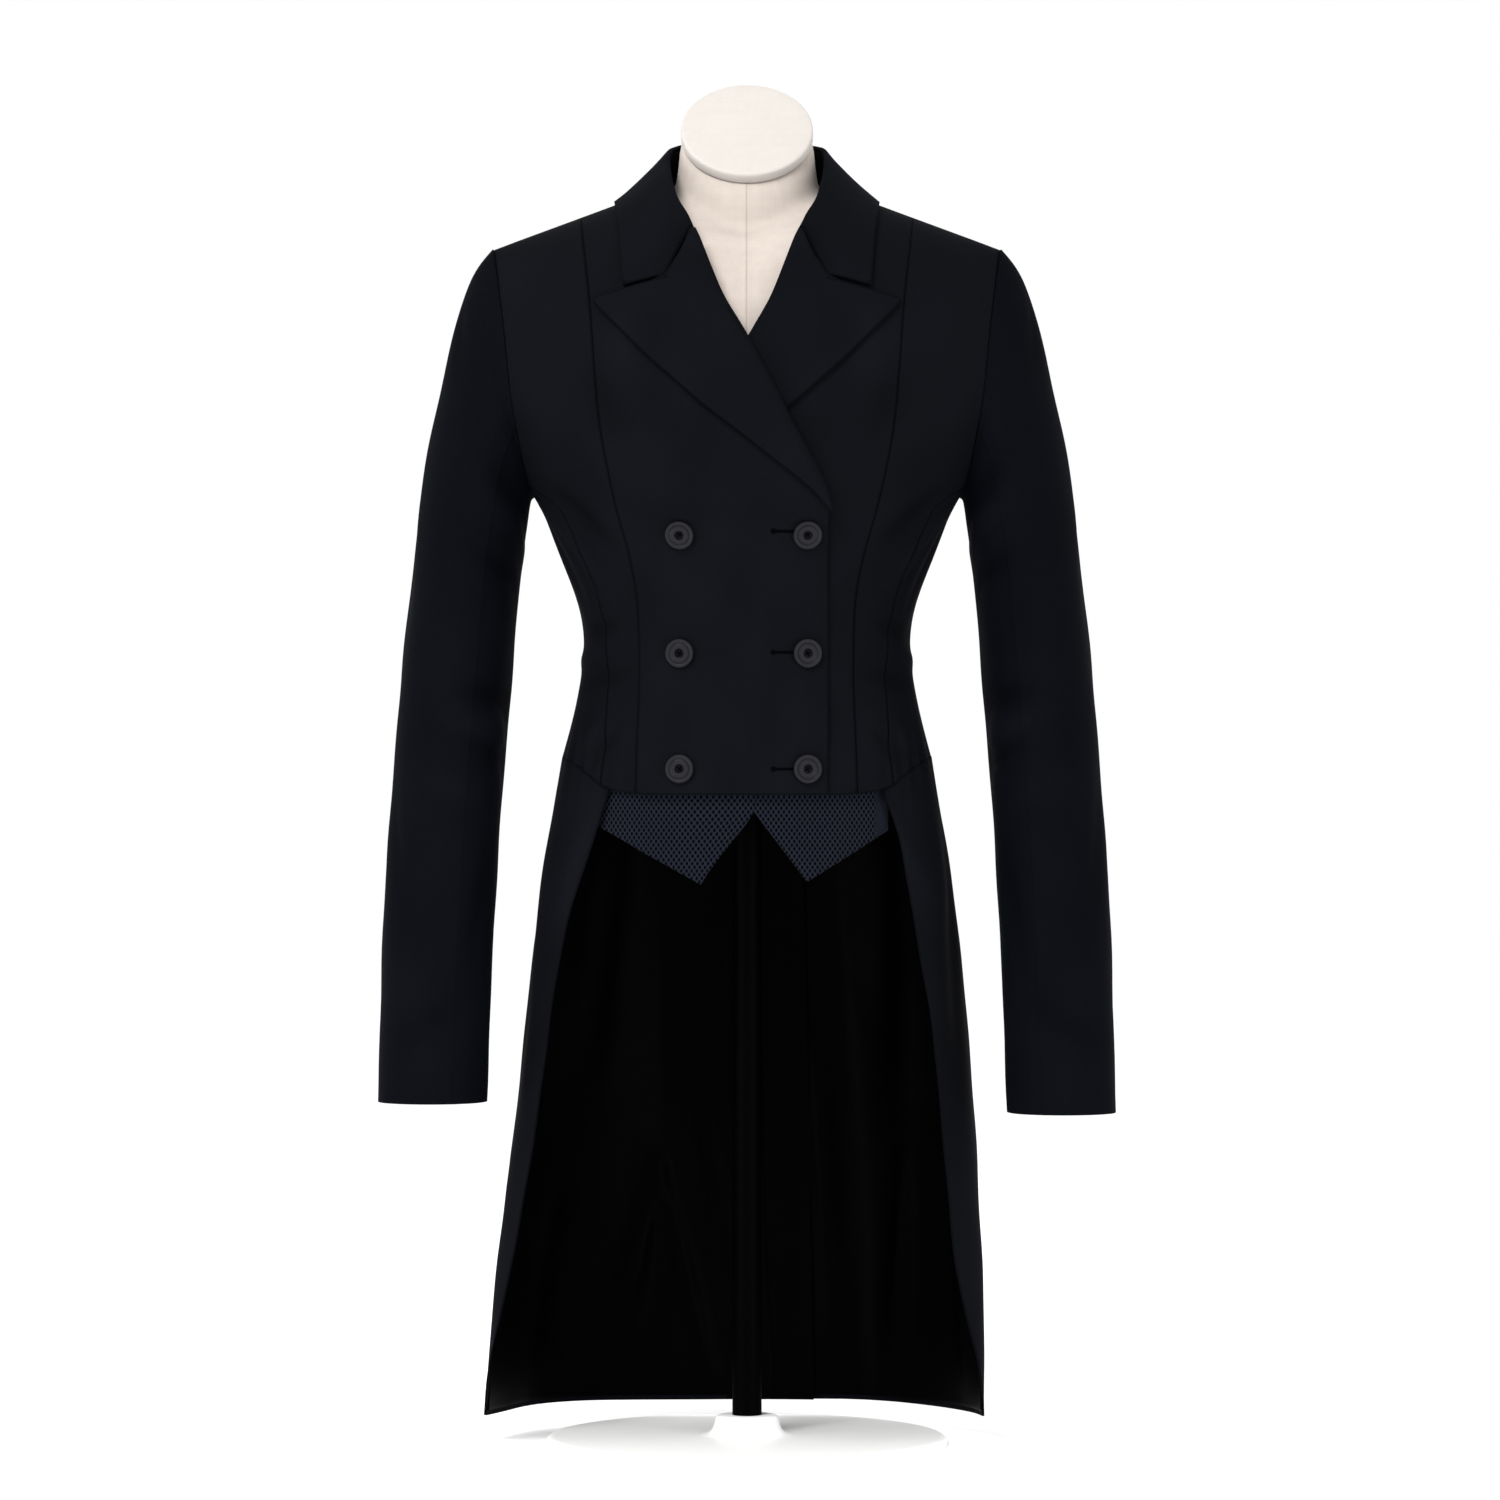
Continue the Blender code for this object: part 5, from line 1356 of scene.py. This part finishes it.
# Rounds of the cap's rims: whether the lower one, size, segments
CAP_ROUNDS = [(False, 0.0024, 5), (True, 0.0007, 2)]
CAP_RINGS = 3
CAP_RING_WIDTH = 0.010
cap = bmesh.new()
bmesh.ops.create_circle(cap, cap_ends=True, segments=CAP_SIDES, radius=1.0)
bmesh.ops.scale(cap, vec=(CAP_HALF_WIDE, CAP_HALF_LONG, 1.0), verts=cap.verts[:])
raised = bmesh.ops.extrude_face_region(cap, geom=cap.faces[:], use_keep_orig=True)
upper = [item for item in raised["geom"] if isinstance(item, bmesh.types.BMVert)]
bmesh.ops.translate(cap, vec=(0, 0, CAP_THICKNESS), verts=upper)
bmesh.ops.recalc_face_normals(cap, faces=cap.faces[:])
for low, offset, segments in CAP_ROUNDS:
    rim = [edge for edge in rim_edges(cap, RIM_ANGLE) if (edge.verts[0].co.z < CAP_THICKNESS / 2) == low]
    bmesh.ops.bevel(
        cap, geom=rim, offset=offset, offset_type="OFFSET", affect="EDGES", segments=segments, profile=0.5,
        material=-1,
    )
top = max(cap.faces, key=lambda face: face.calc_center_median().z)
for _ in range(CAP_RINGS):
    bmesh.ops.inset_region(cap, faces=[top], thickness=CAP_RING_WIDTH)
stand_up = Matrix.Translation((0, 0, CAP_HEIGHT)) @ Matrix.Rotation(CAP_TILT, 4, "X")
bmesh.ops.transform(cap, matrix=stand_up @ Matrix.Translation((0, 0, CAP_GAP)), verts=cap.verts[:])
neck_cap = into_object("neck_cap", cap)
neck_cap.data.materials.append(CAP_LINEN)
neck_cap.data.shade_smooth()
neck_cap.data.set_sharp_from_angle(angle=math.radians(50))
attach(neck_cap, "root")
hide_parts("form_cap")
print("neck cap:", len(neck_cap.data.polygons), "faces")

# %% [markdown]
# The stand is turned metal. Base and pole are spun again with more sides than the CAD needs, and small rounds
# on their rims catch the light.

# %% Stand
STAND_SIDES = 96
# Profiles: distance from the middle line, height
BASE_PROFILE = [
    (0.0, 0.0220), (0.0205, 0.0220), (0.0225, 0.0214), (0.0237, 0.0200), (0.0242, 0.0160), (0.0262, 0.0110),
    (0.0300, 0.0080), (0.0360, 0.0070), (0.1440, 0.0070), (0.1475, 0.0064), (0.1493, 0.0050), (0.1500, 0.0035),
    (0.1500, 0.0008), (0.1492, 0.0000), (0.0, 0.0000),
]
POLE_PROFILE = [
    (0.0, 0.4967), (0.0255, 0.4967), (0.0260, 0.4960), (0.0260, 0.4932), (0.0252, 0.4927), (0.0135, 0.4920),
    (0.0115, 0.4905), (0.0110, 0.4880), (0.0110, 0.0223), (0.0, 0.0223),
]
for title, node, profile, paint, slot in (
    ("turned_base", "stand_base", BASE_PROFILE, BASE_PAINT, "stand_paint"),
    ("turned_pole", "stand_pole", POLE_PROFILE, POLE_PAINT, "pole_paint"),
):
    piece = into_object(title, turned(profile, STAND_SIDES))
    piece.data.materials.append(paint)
    piece.data.shade_smooth()
    piece.data.set_sharp_from_angle(angle=math.radians(40))
    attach(piece, "root")
    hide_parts(node)
print("stand turned with", STAND_SIDES, "sides")

# %% [markdown]
# The room is plain white all round: a wide round floor under an even white sky. Large soft lights stand round
# the form, as in a studio for catalogue pictures.

# %% Floor and light
FLOOR_RADIUS = 8.0
# Width of the ring round the middle of the floor
FLOOR_RIM = 6.4
FLOOR_SIDES = 96
FLOOR_GLOW = 0.10
WHITE = (1.0, 1.0, 1.0, 1)
disc = bmesh.new()
bmesh.ops.create_circle(disc, cap_ends=True, segments=FLOOR_SIDES, radius=FLOOR_RADIUS)
bmesh.ops.inset_region(disc, faces=disc.faces[:], thickness=FLOOR_RIM)
floor = into_object("studio_floor", disc)
floor.data.materials.append(
    plain_finish(
        "white_floor", (0.90, 0.90, 0.90, 1), (0.93, 0.93, 0.93, 1), 40.0, 0.60, 0.0,
        Emission_Color=WHITE, Emission_Strength=FLOOR_GLOW,
    )
)
floor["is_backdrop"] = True

world = bpy.data.worlds.new("studio")
bpy.context.scene.world = world
world.use_nodes = True
sky = world.node_tree.nodes["Background"].inputs
sky["Color"].default_value = WHITE
sky["Strength"].default_value = 1.0
# Lights: name, place, aimed at, width, height, watts
LIGHTS = [
    ("key", (-1.2, -2.2, 2.7), (0.0, 0.0, 0.6), 1.2, 1.2, 108),
    ("fill", (2.0, -2.8, 1.0), (0.0, 0.0, 0.5), 1.6, 2.0, 18),
    ("low_left", (-1.0, -0.8, 0.25), (-0.24, 0.0, 0.35), 0.3, 0.5, 6),
    ("low_right", (1.0, -0.8, 0.25), (0.24, 0.0, 0.35), 0.3, 0.5, 6),
    ("edge_left", (-2.0, 0.7, 1.5), (0.0, 0.0, 0.6), 0.8, 1.8, 6),
    ("edge_right", (2.0, 0.7, 1.5), (0.0, 0.0, 0.6), 0.8, 1.8, 5),
    ("overhead", (0.0, 0.6, 3.0), (0.0, 0.4, 0.0), 2.4, 2.0, 10),
]
for title, place, aim, width, height, watts in LIGHTS:
    data = bpy.data.lights.new(title, "AREA")
    data.shape = "RECTANGLE"
    data.size = width
    data.size_y = height
    data.energy = watts
    lamp = bpy.data.objects.new(title, data)
    lamp.location = place
    lamp.rotation_mode = "QUATERNION"
    lamp.rotation_quaternion = (Vector(aim) - Vector(place)).to_track_quat("-Z", "Y")
    bpy.context.scene.collection.objects.link(lamp)
bpy.context.scene.view_settings.view_transform = "Standard"
print("lights:", [row[0] for row in LIGHTS])

# %% [markdown]
# The picture is taken from straight in front, level with the waist seam, with a long lens from well back, so
# that the coat keeps its true proportions.

# %% Camera
CAMERA_DISTANCE = 4.4
CAMERA_X = 0.00225
CAMERA_HEIGHT = 0.5205
VIEW_WIDTH = 1.125
SENSOR = 36.0
lens = bpy.data.cameras.new("camera")
lens.sensor_width = SENSOR
lens.lens = SENSOR * CAMERA_DISTANCE / VIEW_WIDTH
camera = bpy.data.objects.new("camera", lens)
camera.location = (CAMERA_X, -CAMERA_DISTANCE, CAMERA_HEIGHT)
camera.rotation_mode = "XYZ"
camera.rotation_euler = (math.radians(90), 0, 0)
bpy.context.scene.collection.objects.link(camera)
bpy.context.scene.camera = camera
print("lens:", round(lens.lens, 1), "mm")

# %% [markdown]
# Last, the scene is brought up to date and the triangles of every shown piece are counted.

# %% Triangles in all
bpy.context.view_layer.update()
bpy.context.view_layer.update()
total = sum(len(p.vertices) - 2 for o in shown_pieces() if o.type == "MESH" for p in o.data.polygons)
print("triangles in all:", total)
